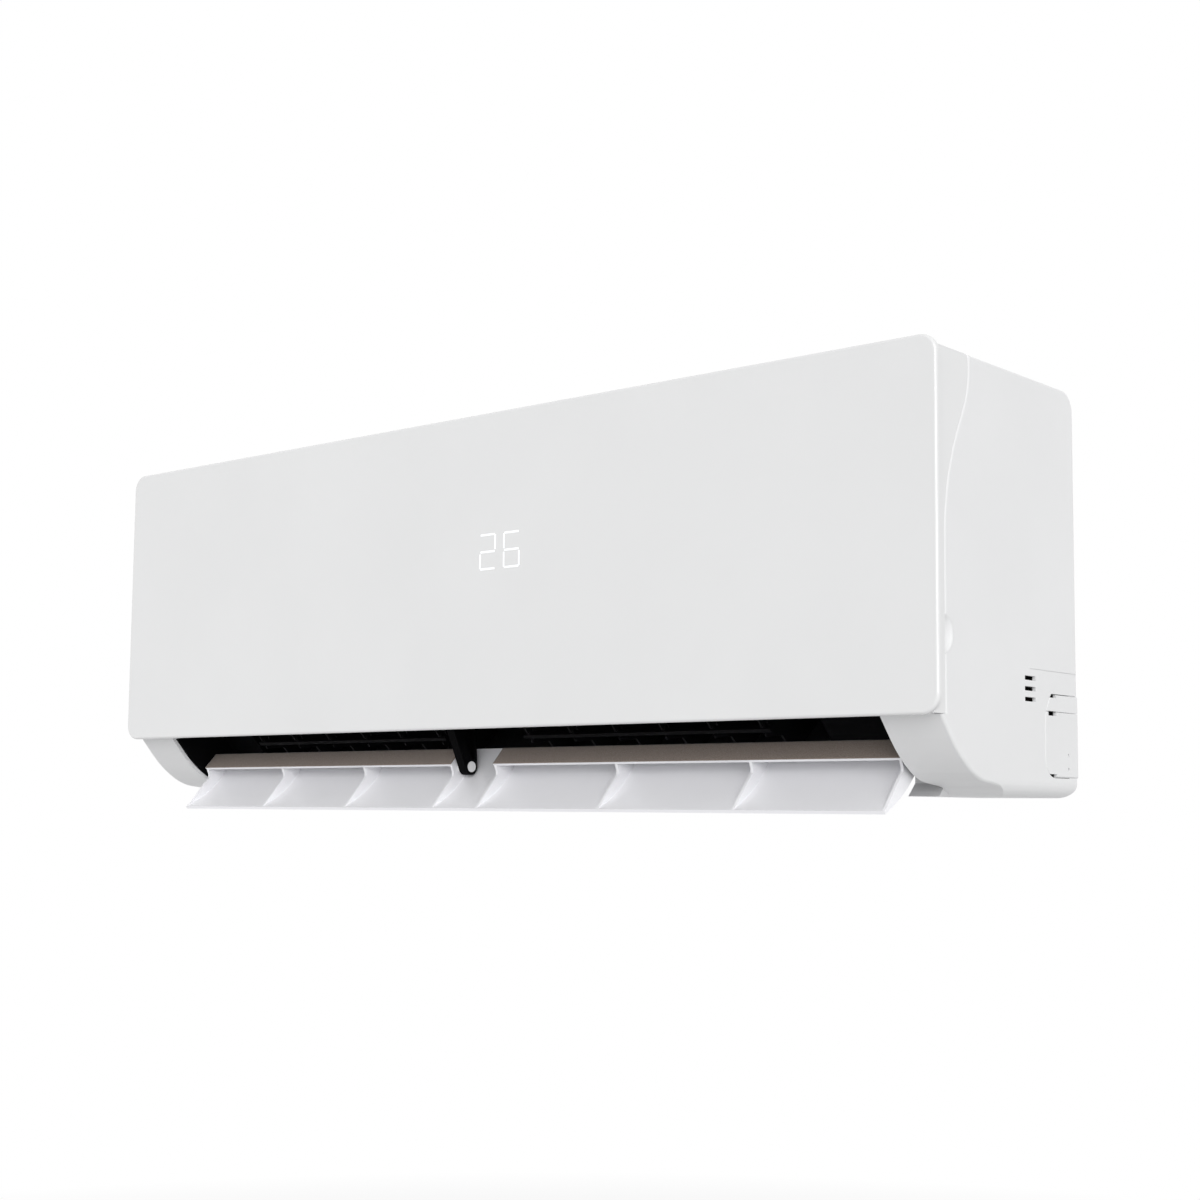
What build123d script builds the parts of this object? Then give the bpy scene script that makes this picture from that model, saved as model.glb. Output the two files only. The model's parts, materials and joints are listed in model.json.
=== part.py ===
from build123d import *
import math
import os

# Wall-hung indoor unit of a mini split air conditioner, in millimetres.
# X runs to the viewer's right, Y towards the wall and Z up. The origin is the centre
# of the wall plate's screw pattern, on the face of the wall.
# Side views are drawn with two numbers: the depth behind the front panel's face and
# the height above the front panel's lower edge. "Reach" and "level" are measured up
# the sloping outlet duct from its lip, and square to the duct's floor.

# ---- overall sizes ----
panel_overhang = 5.0
panel_height = 243.0
panel_thickness = 4.0
panel_corner = 13.0
panel_edge_rounding = 2.0
unit_depth = 197.0
case_width = 840.0
case_top = 238.0
case_bottom = -50.0
case_edge_rounding = 2.3
lower_side_rounding = 11.0
screw_pattern_height = 95.0
wall = 2.5
face_gap = 0.5
running_gap = 0.06
panel_width = case_width + 2 * panel_overhang
case_half_width = case_width / 2

# ---- outer shape of the case, side view ----
rear_top_rounding = 15.0
rear_foot_rounding = 12.0
chin_start = (12.2, 1.0)
chin_slope = 49.0
chin_straight = 20.0
chin_radius = 100.0
chin_turn = 19.0
belly_radius = 50.0
belly_turn = 24.0
belly_end_depth = 84.0
foot_inset = 70.0
foot_inner = case_half_width - foot_inset
foot_front_depth = 86.0
foot_slant = 9.0
foot_step_turn = 24.0

# ---- curved joint line between the panel's skirts and the case sides ----
seam_top_depth = 49.0
seam_top_straight = 9.0
seam_upper_radius = 60.0
seam_turn = 27.0
seam_slant = 17.8
seam_lower_radius = 160.0

# ---- air outlet ----
outlet_inset = 46.0
duct_left_inset = 90.0
duct_right_inset = 130.0
outlet_half_width = case_half_width - outlet_inset
duct_left = duct_left_inset - case_half_width
duct_right = case_half_width - duct_right_inset
duct_sheet = 2.5
duct_slope = 42.0
lip = (87.0, -31.0)
lip_rise = 0.9
lip_floor = 2.0
duct_height = 70.8
duct_front_reach = -26.0
tongue_reach = 43.0
closing_reach = 10.0
closing_drop = 7.5
liner_thickness = 2.2
liner_inset = 3.0
liner_trim = 4.0
liner_rail_depth = 20.8
side_wall_reach = 43.7
chin_rail_depth = 20.0

# ---- cross-flow fan ----
fan_centre = (112.0, 88.0)
fan_radius = 47.0
fan_end_gap = 8.0
fan_left = duct_left + fan_end_gap
fan_right = duct_right - fan_end_gap
fan_blades = 34
fan_blade_thickness = 1.3
fan_blade_depth = 11.5
fan_blade_lag = 14.0
fan_blade_bow = 1.6
fan_disc_thickness = 3.0
fan_sections = 6
fan_shaft_radius = 4.0
shaft_play = 0.05
shaft_past_left = 8.0
shaft_past_right = 28.0
shaft_left = duct_left - shaft_past_left
shaft_right = duct_right + shaft_past_right
scroll_back_depth = 170.0
scroll_top = 140.0
scroll_turn_height = 100.0
scroll_sheet = 3.0
housing_front_reach = 44.0
housing_top_gap = 4.0
housing_front_depth = 62.0
housing_low = 64.0
housing_shoulder = 120.0
housing_top_depth = 100.0
motor_radius = 42.0
motor_length = 52.0
motor_gap = 4.0
motor_boss = 3.0
motor_boss_radius = 9.0
motor_boss_hole = 12.0
motor_rounding = 5.0
band_width = 18.0
band_thickness = 2.5
band_arm = 14.0
bearing_radius = 11.0
bearing_length = 8.0
rubber_radius = 14.0
rubber_lip = 3.0

# ---- wall plate, rear chassis and pipe bay ----
plate_thickness = 1.5
plate_half_width = 330.0
plate_low = 24.0
plate_high = 200.0
plate_window_places = (-165.0, 0.0, 165.0)
plate_window = (70.0, 44.0, 8.0)
plate_window_height = 96.0
plate_hole_pitch = (60.0, 136.0)
plate_hole_columns = 10
plate_hole_height = 112.0
screw_spacing_x = 460.0
screw_spacing_z = 120.0
screw_hole_radius = 2.75
hook_positions = (-240.0, 0.0, 240.0)
hook_width = 30.0
hook_height = 186.0
hook_reach = 7.5
hook_rise = 8.0
hook_slot_play = 1.5
chassis_inset = 6.0
chassis_half_width = case_half_width - chassis_inset
chassis_top = 222.5
chassis_side_depth = 150.0
chassis_arm_depth = 52.5
chassis_arm_low = 50.0
bay_front_gap = 16.9
bay_top = 22.0
trough_depth = 12.0
bay_end_low = -36.5
bay_end_gap = 2.0
pipe_hole = 9.0

# ---- outlet flap ----
flap_axis = (58.0, -27.0)
flap_open_angle = 78.0
flap_end_gap = 5.5
flap_half_width = outlet_half_width - flap_end_gap
flap_skin = 2.4
flap_tip_depth = 17.0
flap_heel_depth = 76.0
rib_thickness = 2.2
rib_fuse = 0.2
rib_end = flap_half_width - rib_thickness / 2
rib_places = (-rib_end, -262.0, -156.0, -52.0, -3.0, 121.5, 245.0, rib_end)
rib_heel = (74.5, -38.5)
rib_edge = (
    (52.4, -20.0),
    (49.5, -20.6),
    (42.5, -16.5),
    (31.5, -10.6),
    (24.0, -6.6),
)
middle_cell = (-52.0, -3.0)
blade_tip = (57.5, -15.1)
blade_heel = (72.3, -24.0)
blade_thickness = 2.0
flock_thickness = 0.5
flap_pin_radius = 4.3
pin_head = 3.0
pin_head_radius = 6.0
pin_show = 0.6
end_pin_radius = 3.0
end_pin_length = 8.5
drive_pin_length = 14.5
bracket_left = -47.0
bracket_right = -39.0
bracket_eye = 6.6
arm_reaches = (-11.0, 30.1)
arm_half_front = 6.4
arm_half_back = 6.6
arm_drop = 1.5
arm_flange = 2.5
arm_web = 3.0
bush_radius = 4.5
bush_gap = 0.05
bush_flange = 1.5
flap_motor_radius = 14.0
flap_motor_length = 18.0
motor_offset = (4.0, 8.0)
ear_half = 3.0
ear_reach = 19.0

# ---- vertical vanes that steer the air sideways ----
vane_pitch = 45.0
vanes_per_side = 6
left_vane_gap = 30.0
right_vane_gap = 41.0
left_vane_start = duct_left + left_vane_gap
right_vane_start = duct_right - right_vane_gap - (vanes_per_side - 1) * vane_pitch
vane_thickness = 1.6
vane_pivot_reach = 30.0
vane_link_reach = -1.0
vane_link_level = 39.0
vane_pin_radius = 1.5
link_pin_radius = 1.2
link_width = 5.0
link_thickness = 3.0
link_notch = 6.0
link_tip = 2.5
link_end = 6.0
vane_clearance = 1.2
vane_front_low = 14.0
vane_rear = 52.0
vane_shoulder = 40.0
vane_rear_high = 46.0
vane_front_high = 0.0
vane_brow = 60.0
vane_throat = 33.4
vane_heel = 11.5
vane_heel_level = 22.5
stepper_radius = 9.5
stepper_length = 11.0
stepper_grip = 4.0

# ---- heat exchanger ----
coil_thickness = 26.0
coil_front_lower = ((38.0, 48.0), (38.0, 128.0))
coil_front_upper = ((44.0, 140.0), (98.0, 214.0))
coil_rear = ((122.0, 214.0), (164.0, 150.0))
tube_pitch = 20.0
row_offset = 6.5
tubes_per_row = 4
tube_radius = 3.5
tube_gap = 0.1
tube_show = 1.0
bend_reach = 12.0
bend_radius = 7.0
crossover_step = 8.0
end_plate_thickness = 1.2
end_plate_margin = 1.0
end_plate_foot_cut = 3.0

# ---- drain pan and drain ----
pan_overhang = 7.0
pan_gap = 0.2
pan_foot_reach = 17.0
pan_front = 15.0
pan_floor = 35.0
pan_top = 54.0
pan_outlet = 7.0
pan_outlet_depth = 40.0
pan_outlet_height = 45.0
elbow_overlap = 5.0
drain_run = 26.0
drain_x = duct_left - drain_run
drain_level = -4.0
drain_radius = 8.0
drain_bore = 6.0
drain_length = 22.0
drain_tip_gap = 4.0
drain_bend = 12.0
drain_passage = (-14.0, 26.0)
passage_play = 3.0

# ---- panel hinge, catches and display ----
hinge_point = (45.0, 234.0)
hinge_pin_radius = 1.6
skirt_thickness = 2.3
skirt_corner = 3.5
skirt_foot_gap = 0.2
panel_rib = 1.5
panel_rib_inset = 20.0
panel_rib_end = case_half_width - panel_rib_inset
panel_rib_places = (-panel_rib_end, -150.0, 150.0, panel_rib_end)
panel_rib_low = 12.0
panel_rib_high = 225.0
catch_places = (-300.0, 300.0)
catch_height = 25.0
catch_thickness = 5.0
catch_half_width = 8.0
catch_depth = 14.0
catch_slot_below = 3.0
catch_slot_above = 8.0
digit_left = 23.0
digit_low = 120.5
digit_width = 18.0
digit_height = 28.5
digit_spacing = 25.0
segment_width = 2.2
segment_gap = 0.3
segment_depth = 0.6
display_margin = 9.0
display_depth = 4.2

# ---- front surround, filters and inlet grille ----
surround_depth = 9.0
surround_thickness = 3.0
surround_inset = 5.0
surround_half_width = case_half_width - surround_inset
bay_inner = 8.0
bay_inset = 48.0
bay_outer = case_half_width - bay_inset
bay_low = 46.0
filter_bay_top = 228.0
ledge_width = 7.0
ledge_thickness = 1.5
filter_play = 0.4
filter_thickness = 2.2
filter_bar = 2.5
filter_columns = 6
filter_rows = 3
grille_front = 22.0
grille_back = 176.0
grille_inset = 20.0
grille_half_width = case_half_width - grille_inset
grille_columns = 10
grille_rows = 9
grille_bar = 4.5
grille_gap = 0.3
grille_ledge_width = 5.0

# ---- right-hand compartment ----
box_width = 91.5
box_inset = 8.5
box_right = case_half_width - box_inset
box_left = box_right - box_width
box_front = 18.0
box_back = 62.0
box_low = 55.0
box_high = 225.0
box_wall = 2.0
board_thickness = 1.6
board_standoff = 5.0
board_edge = 6.0
board_gap = 1.5
post_radius = 2.5
board_blocks = (
    (10.0, 150.0, 30.0, 34.0, 24.0),
    (50.0, 165.0, 18.0, 22.0, 28.0),
    (48.0, 120.0, 26.0, 16.0, 14.0),
    (12.0, 112.0, 22.0, 12.0, 10.0),
)
window_inset = 10.0
window_width = 60.0
window_left = box_left + window_inset
cover_window = (window_left, window_left + window_width, 64.0, 84.0)
terminal_count = 5
terminal_radius = 3.0
cable_clamp_inset = 25.0
cable_clamp_x = box_left + cable_clamp_inset
cable_clamp_width = 24.0
cable_clamp_depth = 16.0
cable_clamp_height = 12.0
cable_radius = 4.5
button_inset = 25.0
button_place = (case_half_width - button_inset, 100.0)
button_radius = 4.0
button_play = 0.3
button_travel = 1.5
button_proud = 2.0
button_collar = 1.5

# ---- side details ----
slot_depths = (121.0, 136.0)
slot_heights = (30.3, 23.1, 15.9)
slot_height = 3.0
notch_depth_centre = 17.0
notch_reach = 11.0
notch_half_height = 12.5
notch_height = 52.0
notch_floor_depth = 30.0
notch_floor_low = 36.0
notch_floor_high = 68.0
groove_height = 36.5
groove_start = 128.0
groove_width = 0.8
groove_cut = 0.5
knockout_low = -36.5
knockout_turn_depth = 163.0
knockout_toe = 14.5
knockout_rise = 21.0
knockout_brow = 30.0
knockout_brow_turn = 48.0
knockout_step = 9.2
knockout_gap = 0.35
knockout_rounding = 1.2
knockout_marks = (-37.0, 6.2, 18.6)
mark_depths = (154.0, 165.5)
mark_height = 3.2
dimple_heights = (-20.3, -29.9)
dimple_depth = 183.0
dimple_radius = 1.0

# ---- refrigerant pipes ----
gas_radius = 4.76
liquid_radius = 3.175
pipe_wall = 0.8
gas_bend = 18.0
liquid_bend = 12.0
gas_level = 0.0
liquid_depth = 182.0
liquid_level = -14.0
gas_drop_run = 76.0
liquid_drop_run = 64.0
gas_drop_x = duct_right + gas_drop_run
liquid_drop_x = duct_right + liquid_drop_run
gas_turn_x = -40.0
liquid_turn_x = -110.0
pipe_tail = 20.0
gas_dip = 25.0
liquid_dip = 15.0
gas_thread_radius = 7.94
liquid_thread_radius = 5.55
gas_hex = 22.0
liquid_hex = 17.0
union_body = 12.0
union_thread = 15.0
union_collar = 10.0
union_wall = 1.5
clamp_x = 60.0
clamp_width = 16.0
clamp_wall = 3.0

# ---- case screws ----
screw_places = (-200.0, 200.0)
case_screw_height = 12.0
screw_hole = 2.1
screw_radius = 1.9
screw_length = 9.0
screw_head_radius = 4.0
screw_head_height = 2.2
boss_end = 22.0
boss_radius = 4.5

panel_face_y = -unit_depth
panel_foot_z = -screw_pattern_height
duct_radians = math.radians(duct_slope)

os.makedirs("parts", exist_ok=True)


# ---- places in the side view ----
def side(depth, height):
    """Return the (Y, Z) place of a point given by its depth and its height."""
    return (panel_face_y + depth, panel_foot_z + height)


def side_plane(x):
    """Return the side-view plane at x, with local axes along Y and Z."""
    return Plane.YZ.offset(x)


def duct_point(reach, level):
    """Return depth and height at reach up the outlet duct and level above its floor."""
    depth = lip[0] + reach * math.cos(duct_radians) - level * math.sin(duct_radians)
    height = lip[1] + reach * math.sin(duct_radians) + level * math.cos(duct_radians)
    return (depth, height)


def duct_plane(x):
    """Return a side-view plane at x whose local axes run up the duct and off its floor."""
    y, z = side(*lip)
    uphill = (0, math.cos(duct_radians), math.sin(duct_radians))
    return Plane((x, y, z), x_dir=uphill, z_dir=(1, 0, 0))


def vane_axis_plane(x, reach, level):
    """Return the plane square to a vane's pivot, level above the duct's floor."""
    y, z = side(*duct_point(reach, level))
    up = (0, -math.sin(duct_radians), math.cos(duct_radians))
    return Plane((x, y, z), x_dir=(1, 0, 0), z_dir=up)


def flap_plane(x):
    """Return the flap's own plane at x: its origin is on the hinge axis, flap opened."""
    y, z = side(*flap_axis)
    turn = math.radians(flap_open_angle)
    return Plane((x, y, z), x_dir=(0, math.cos(turn), math.sin(turn)), z_dir=(1, 0, 0))


def flap_point(depth, height):
    """Return a point of the closed flap's side view, measured from its hinge axis."""
    return (depth - flap_axis[0], height - flap_axis[1])


# ---- solids drawn in the side view ----
def side_prism(x_low, x_high, points, mode=Mode.ADD):
    """Add or cut the prism of a straight-sided side view from x_low to x_high."""
    with BuildSketch(side_plane(x_low)) as outline:
        with BuildLine():
            Polyline(*[side(*point) for point in points], close=True)
        make_face()
    extrude(outline.sketch, amount=x_high - x_low, mode=mode)


def side_box(x_low, x_high, depth_low, depth_high, height_low, height_high, mode=Mode.ADD):
    """Add or cut a box given by its limits in X, depth and height."""
    corners = [
        (depth_low, height_low),
        (depth_high, height_low),
        (depth_high, height_high),
        (depth_low, height_high),
    ]
    side_prism(x_low, x_high, corners, mode)


def duct_prism(x_low, x_high, points, mode=Mode.ADD):
    """Add or cut a prism drawn in the duct's own axes."""
    with BuildSketch(duct_plane(x_low)) as outline:
        with BuildLine():
            Polyline(*points, close=True)
        make_face()
    extrude(outline.sketch, amount=x_high - x_low, mode=mode)


def rod(x_low, x_high, centre, radius, mode=Mode.ADD):
    """Add or cut a round rod along X."""
    with BuildSketch(side_plane(x_low)) as section:
        with Locations(side(*centre)):
            Circle(radius)
    extrude(section.sketch, amount=x_high - x_low, mode=mode)


def depth_rod(x, height, depth_low, depth_high, radius, mode=Mode.ADD):
    """Add or cut a round rod that points towards the wall."""
    y, z = side(depth_low, height)
    with BuildSketch(Plane((x, y, z), x_dir=(1, 0, 0), z_dir=(0, 1, 0))) as section:
        Circle(radius)
    extrude(section.sketch, amount=depth_high - depth_low, mode=mode)


def belly_line(place, inset=0.0, trim=0.0, end_depth=belly_end_depth):
    """Draw the underside's profile from the chin back to end_depth, inset into the case.

    The first trim millimetres at the chin are left out. Returns the first and last piece.
    """
    angle = math.radians(chin_slope)
    heading = (math.cos(angle), -math.sin(angle))
    start = place(
        chin_start[0] + trim * math.cos(angle) + inset * math.sin(angle),
        chin_start[1] - trim * math.sin(angle) + inset * math.cos(angle),
    )
    chin = PolarLine(start, chin_straight - trim, direction=heading)
    lower_front = JernArc(chin @ 1, chin % 1, chin_radius - inset, chin_turn)
    belly = JernArc(lower_front @ 1, lower_front % 1, belly_radius - inset, belly_turn)
    end_x = place(end_depth, 0)[0]
    slope = (belly % 1).Y / (belly % 1).X
    tail = Line(belly @ 1, (end_x, (belly @ 1).Y + (end_x - (belly @ 1).X) * slope))
    return chin, tail


def seam_line(gap):
    """Draw the panel seam downwards, moved forward by gap, and return its last piece."""
    top = Line(
        side(seam_top_depth - gap, case_top),
        side(seam_top_depth - gap, case_top - seam_top_straight),
    )
    upper = JernArc(top @ 1, top % 1, seam_upper_radius, -seam_turn)
    slant = PolarLine(upper @ 1, seam_slant, direction=upper % 1)
    return JernArc(slant @ 1, slant % 1, seam_lower_radius, seam_turn)


def belly_drop(tail):
    """Draw the soft step from the belly's end down to the foot's sole, and return its end."""
    slope = math.radians(chin_slope - chin_turn - belly_turn)
    steepest = slope + math.radians(foot_step_turn)
    fall = (tail @ 1).Y - side(0, case_bottom)[1]
    radius = fall / (1 + math.cos(slope) - 2 * math.cos(steepest))
    over = JernArc(tail @ 1, tail % 1, radius, -foot_step_turn)
    under = JernArc(over @ 1, over % 1, radius, math.degrees(steepest))
    return under @ 1


def case_outline():
    """Draw the case's whole side view."""
    chin, tail = belly_line(side)
    sole = Line(belly_drop(tail), side(unit_depth - rear_foot_rounding, case_bottom))
    heel = JernArc(sole @ 1, sole % 1, rear_foot_rounding, 90)
    back = Line(heel @ 1, side(unit_depth, case_top - rear_top_rounding))
    nape = JernArc(back @ 1, back % 1, rear_top_rounding, 90)
    Line(nape @ 1, side(seam_top_depth, case_top))
    seam = seam_line(0)
    front = Line(seam @ 1, ((seam @ 1).X, side(0, chin_start[1])[1]))
    Line(front @ 1, chin @ 0)


# ---- wall plate and chassis ----
def make_wall_plate():
    """Steel sheet that is screwed to the wall; the unit hangs on its hooks."""
    front = unit_depth - plate_thickness
    tip = front - hook_reach
    hook_top = hook_height + hook_rise
    with BuildPart() as wall_plate:
        side_box(-plate_half_width, plate_half_width, front, unit_depth, plate_low, plate_high)
        for x in hook_positions:
            low, high = x - hook_width / 2, x + hook_width / 2
            side_box(low, high, tip, front, hook_height, hook_height + plate_thickness)
            side_box(low, high, tip, tip + plate_thickness, hook_height, hook_top)
        for x in (-screw_spacing_x / 2, screw_spacing_x / 2):
            for z in (-screw_spacing_z / 2, screw_spacing_z / 2):
                height = screw_pattern_height + z
                depth_rod(x, height, front, unit_depth, screw_hole_radius, Mode.SUBTRACT)
        window_wide, window_tall, window_corner = plate_window
        with BuildSketch(Plane.XZ) as cutouts:
            for x in plate_window_places:
                with Locations((x, panel_foot_z + plate_window_height)):
                    RectangleRounded(window_wide, window_tall, window_corner)
            with Locations((0, panel_foot_z + plate_hole_height)):
                with GridLocations(*plate_hole_pitch, plate_hole_columns, 2):
                    Circle(screw_hole_radius)
        extrude(cutouts.sketch, amount=plate_thickness, mode=Mode.SUBTRACT)
    wall_plate.part.label = "wall_plate"
    export_step(wall_plate.part, "parts/wall_plate.step")


def scroll_radius():
    """Return the arc radius that meets both the back line and the duct's floor."""
    rise = scroll_turn_height - lip[1]
    run = scroll_back_depth - lip[0]
    slant = rise * math.cos(duct_radians) - run * math.sin(duct_radians)
    return slant / (1 - math.sin(duct_radians))


def scroll_line(sheet):
    """Draw the air guide's line from its top down to the lip, moved outwards by sheet."""
    top = side(scroll_back_depth + sheet, scroll_top)
    turn = side(scroll_back_depth + sheet, scroll_turn_height)
    down = Line(top, turn)
    sweep = JernArc(down @ 1, (0, -1), scroll_radius() + sheet, -(90 - duct_slope))
    lip_edge = side(
        lip[0] + sheet * math.sin(duct_radians),
        lip[1] - sheet * math.cos(duct_radians),
    )
    run = Line(sweep @ 1, lip_edge)
    return down @ 0, run @ 1


def housing_end(x_low, x_high):
    """Add one end wall of the fan housing, from the duct's floor up to the coil."""
    with BuildSketch(side_plane(x_low)) as housing:
        with BuildLine():
            top = side(scroll_back_depth, scroll_top)
            turn = side(scroll_back_depth, scroll_turn_height)
            down = Line(top, turn)
            sweep = JernArc(down @ 1, (0, -1), scroll_radius(), -(90 - duct_slope))
            Polyline(
                sweep @ 1,
                side(*duct_point(housing_front_reach, 0)),
                side(*duct_point(housing_front_reach, duct_height - housing_top_gap)),
                side(housing_front_depth, housing_low),
                side(housing_front_depth, housing_shoulder),
                side(housing_top_depth, scroll_top),
                top,
            )
        make_face()
    extrude(housing.sketch, amount=x_high - x_low)


def make_rear_chassis():
    """Back moulding: back wall, air guide, fan housing ends and the pipe bay's roof."""
    back = unit_depth - plate_thickness
    left, right = duct_left - scroll_sheet, duct_right + scroll_sheet
    roof = bay_top + wall
    floor_top = lip[1] + lip_rise
    with BuildPart() as rear_chassis:
        half = outlet_half_width
        side_box(-chassis_half_width, chassis_half_width, back - wall, back, bay_top, chassis_top)
        side_box(-half, half, bay_front_depth, back, bay_top, roof)
        bay_front = bay_front_depth + wall
        side_box(-half, half, bay_front_depth, bay_front, floor_top - lip_floor, roof)
        side_box(-half, half, lip[0] + lip_rise, bay_front, floor_top - lip_floor, floor_top)
        with BuildSketch(side_plane(left)):
            with BuildLine():
                inner_top, inner_lip = scroll_line(0)
                outer_top, outer_lip = scroll_line(scroll_sheet)
                Line(inner_top, outer_top)
                Line(inner_lip, outer_lip)
            make_face()
        extrude(amount=right - left)
        housing_end(left, duct_left)
        housing_end(duct_right, right)
        for x in (-chassis_half_width, chassis_half_width - wall):
            outline = [
                (chassis_side_depth, bay_top),
                (back, bay_top),
                (back, chassis_top),
                (chassis_arm_depth, chassis_top),
                (chassis_arm_depth, chassis_arm_low),
                (chassis_side_depth, chassis_arm_low),
            ]
            side_prism(x, x + wall, outline)
        bay_end_inner = outlet_half_width + wall + bay_end_gap
        for x_low, x_high in ((-chassis_half_width, -bay_end_inner), (bay_end_inner, chassis_half_width)):
            side_box(x_low, x_high, back - wall, back, bay_end_low, bay_top)
        trough_low = scroll_top - trough_depth
        trough_back = scroll_back_depth + scroll_sheet
        side_box(left, right, trough_back, back - wall, trough_low, trough_low + wall)
        for x in hook_positions:
            slot = hook_width / 2 + hook_slot_play
            low, high = hook_height - hook_slot_play, hook_height + hook_rise + hook_slot_play
            side_box(x - slot, x + slot, back - wall, back, low, high, Mode.SUBTRACT)
        for x, depth in ((gas_drop_x, gas_start()[0]), (liquid_drop_x, liquid_depth)):
            low, high = depth - pipe_hole, depth + pipe_hole
            side_box(x - pipe_hole, x + pipe_hole, low, high, bay_top - 1, roof + 1, Mode.SUBTRACT)
        passage_low, passage_high = drain_passage
        side_box(
            drain_x - pipe_hole - passage_play,
            drain_x + pipe_hole + passage_play,
            bay_front_depth - 1,
            bay_front + 1,
            passage_low,
            passage_high,
            Mode.SUBTRACT,
        )
        rod(left - 1, duct_left + 1, fan_centre, rubber_radius, Mode.SUBTRACT)
        rod(duct_right - 1, right + 1, fan_centre, motor_boss_hole, Mode.SUBTRACT)
        for x in vane_places():
            vane_hole(x, -scroll_sheet - 1, 1.0)
    rear_chassis.part.label = "rear_chassis"
    export_step(rear_chassis.part, "parts/rear_chassis.step")


def vane_places():
    """Return every vane's X, the left set first."""
    left = [left_vane_start + vane_pitch * i for i in range(vanes_per_side)]
    right = [right_vane_start + vane_pitch * i for i in range(vanes_per_side)]
    return left + right


def vane_rod(x, reach, level_low, level_high, radius, mode=Mode.ADD):
    """Add or cut a round pin that stands square to the duct's floor."""
    with BuildSketch(vane_axis_plane(x, reach, level_low)) as pin:
        Circle(radius)
    extrude(pin.sketch, amount=level_high - level_low, mode=mode)


def vane_hole(x, level_low, level_high):
    """Cut a vane pivot's bearing hole."""
    radius = vane_pin_radius + running_gap
    vane_rod(x, vane_pivot_reach, level_low, level_high, radius, Mode.SUBTRACT)


# ---- front frame and grille ----
def seam_strip(x_low, x_high):
    """Add the return behind a skirt, from the front surround back past the seam."""
    foot = chin_start[1]
    with BuildSketch(side_plane(x_low)) as strip:
        with BuildLine():
            seam = seam_line(-wall)
            Polyline(
                seam @ 1,
                ((seam @ 1).X, side(0, foot)[1]),
                side(surround_depth, foot),
                side(surround_depth, case_top),
                side(seam_top_depth + wall, case_top),
            )
        make_face()
    extrude(strip.sketch, amount=x_high - x_low)


def cheek_wall(x_low, x_high):
    """Add the wall between the outlet and the hollow end of the case."""
    rear = bay_front_depth + wall
    with BuildSketch(side_plane(x_low)) as cheek:
        with BuildLine():
            chin, tail = belly_line(side)
            Polyline(
                belly_drop(tail),
                side(rear, case_bottom),
                side(rear, bay_top),
                side(chin_start[0], bay_top),
                chin @ 0,
            )
        make_face()
    extrude(cheek.sketch, amount=x_high - x_low)


def inner_foot(x_low, x_high):
    """Add the hollow foot beside the pipe bay, with its slanted front."""
    rear = unit_depth - rear_foot_rounding
    top = lip[1] + lip_rise - lip_floor
    outline = [
        (foot_front_depth, case_bottom),
        (rear, case_bottom),
        (rear, top),
        (foot_front_depth + foot_slant, top),
        (foot_front_depth + foot_slant, case_bottom + foot_slant),
    ]
    side_prism(x_low, x_high, outline)


def knockout_edge():
    """Draw the curved front edge of a pipe knock-out and close it past the case's back."""
    beyond = unit_depth + 1
    low = Line(side(beyond, knockout_low), side(knockout_turn_depth, knockout_low))
    toe = JernArc(low @ 1, low % 1, knockout_toe, -90)
    rise = PolarLine(toe @ 1, knockout_rise, direction=toe % 1)
    brow = JernArc(rise @ 1, rise % 1, knockout_brow, -knockout_brow_turn)
    corner = (side(beyond, 0)[0], (brow @ 1).Y)
    Polyline(brow @ 1, corner, side(beyond, knockout_low))


def side_cutouts(x_low, x_high):
    """Cut a side's louvre slots, finger notch, groove and knock-out window."""
    for height in slot_heights:
        low, high = height - slot_height / 2, height + slot_height / 2
        side_box(x_low, x_high, slot_depths[0], slot_depths[1], low, high, Mode.SUBTRACT)
    with BuildSketch(side_plane(x_low)) as window:
        with BuildLine():
            knockout_edge()
        make_face()
    extrude(window.sketch, amount=x_high - x_low, mode=Mode.SUBTRACT)
    with BuildSketch(side_plane(x_low)) as notch:
        with Locations(side(notch_depth_centre, notch_height)):
            Ellipse(notch_reach, notch_half_height)
    extrude(notch.sketch, amount=x_high - x_low, mode=Mode.SUBTRACT)


def case_corner_edges(end):
    """Return an end face's edges along the back, the top and the panel seam."""
    seam_back = side(seam_top_depth, 0)[0]
    chin_top = side(0, chin_start[1])[1] + case_edge_rounding
    rear_low = side(0, case_bottom + rear_foot_rounding)[1]
    edges = end.edges()
    rear = [edge for edge in edges if edge.center().Y > seam_back and edge.center().Z > rear_low]
    return rear + [edge for edge in edges if edge not in rear and edge.center().Z > chin_top]


def case_body(inset):
    """Return the case as a solid block moved inwards by inset, with round lower side edges."""
    half = case_half_width - inset
    low, high = panel_foot_z + case_bottom + inset, panel_foot_z + case_top
    with BuildPart() as body:
        with BuildSketch(side_plane(-half)) as side_view:
            with BuildLine():
                case_outline()
            make_face()
            if inset > 0:
                offset(amount=-inset, kind=Kind.INTERSECTION, mode=Mode.REPLACE)
        extrude(side_view.sketch, amount=2 * half)
        if inset == 0:
            for end in (body.faces().sort_by(Axis.X)[0], body.faces().sort_by(Axis.X)[-1]):
                fillet(case_corner_edges(end), case_edge_rounding)
        with BuildSketch(Plane.XZ) as front_view:
            with Locations((0, (low + high) / 2)):
                Rectangle(2 * half, high - low)
            fillet(front_view.vertices().group_by(Axis.Y)[0], lower_side_rounding - inset)
        extrude(front_view.sketch, amount=unit_depth, mode=Mode.INTERSECT)
    return body.part


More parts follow.
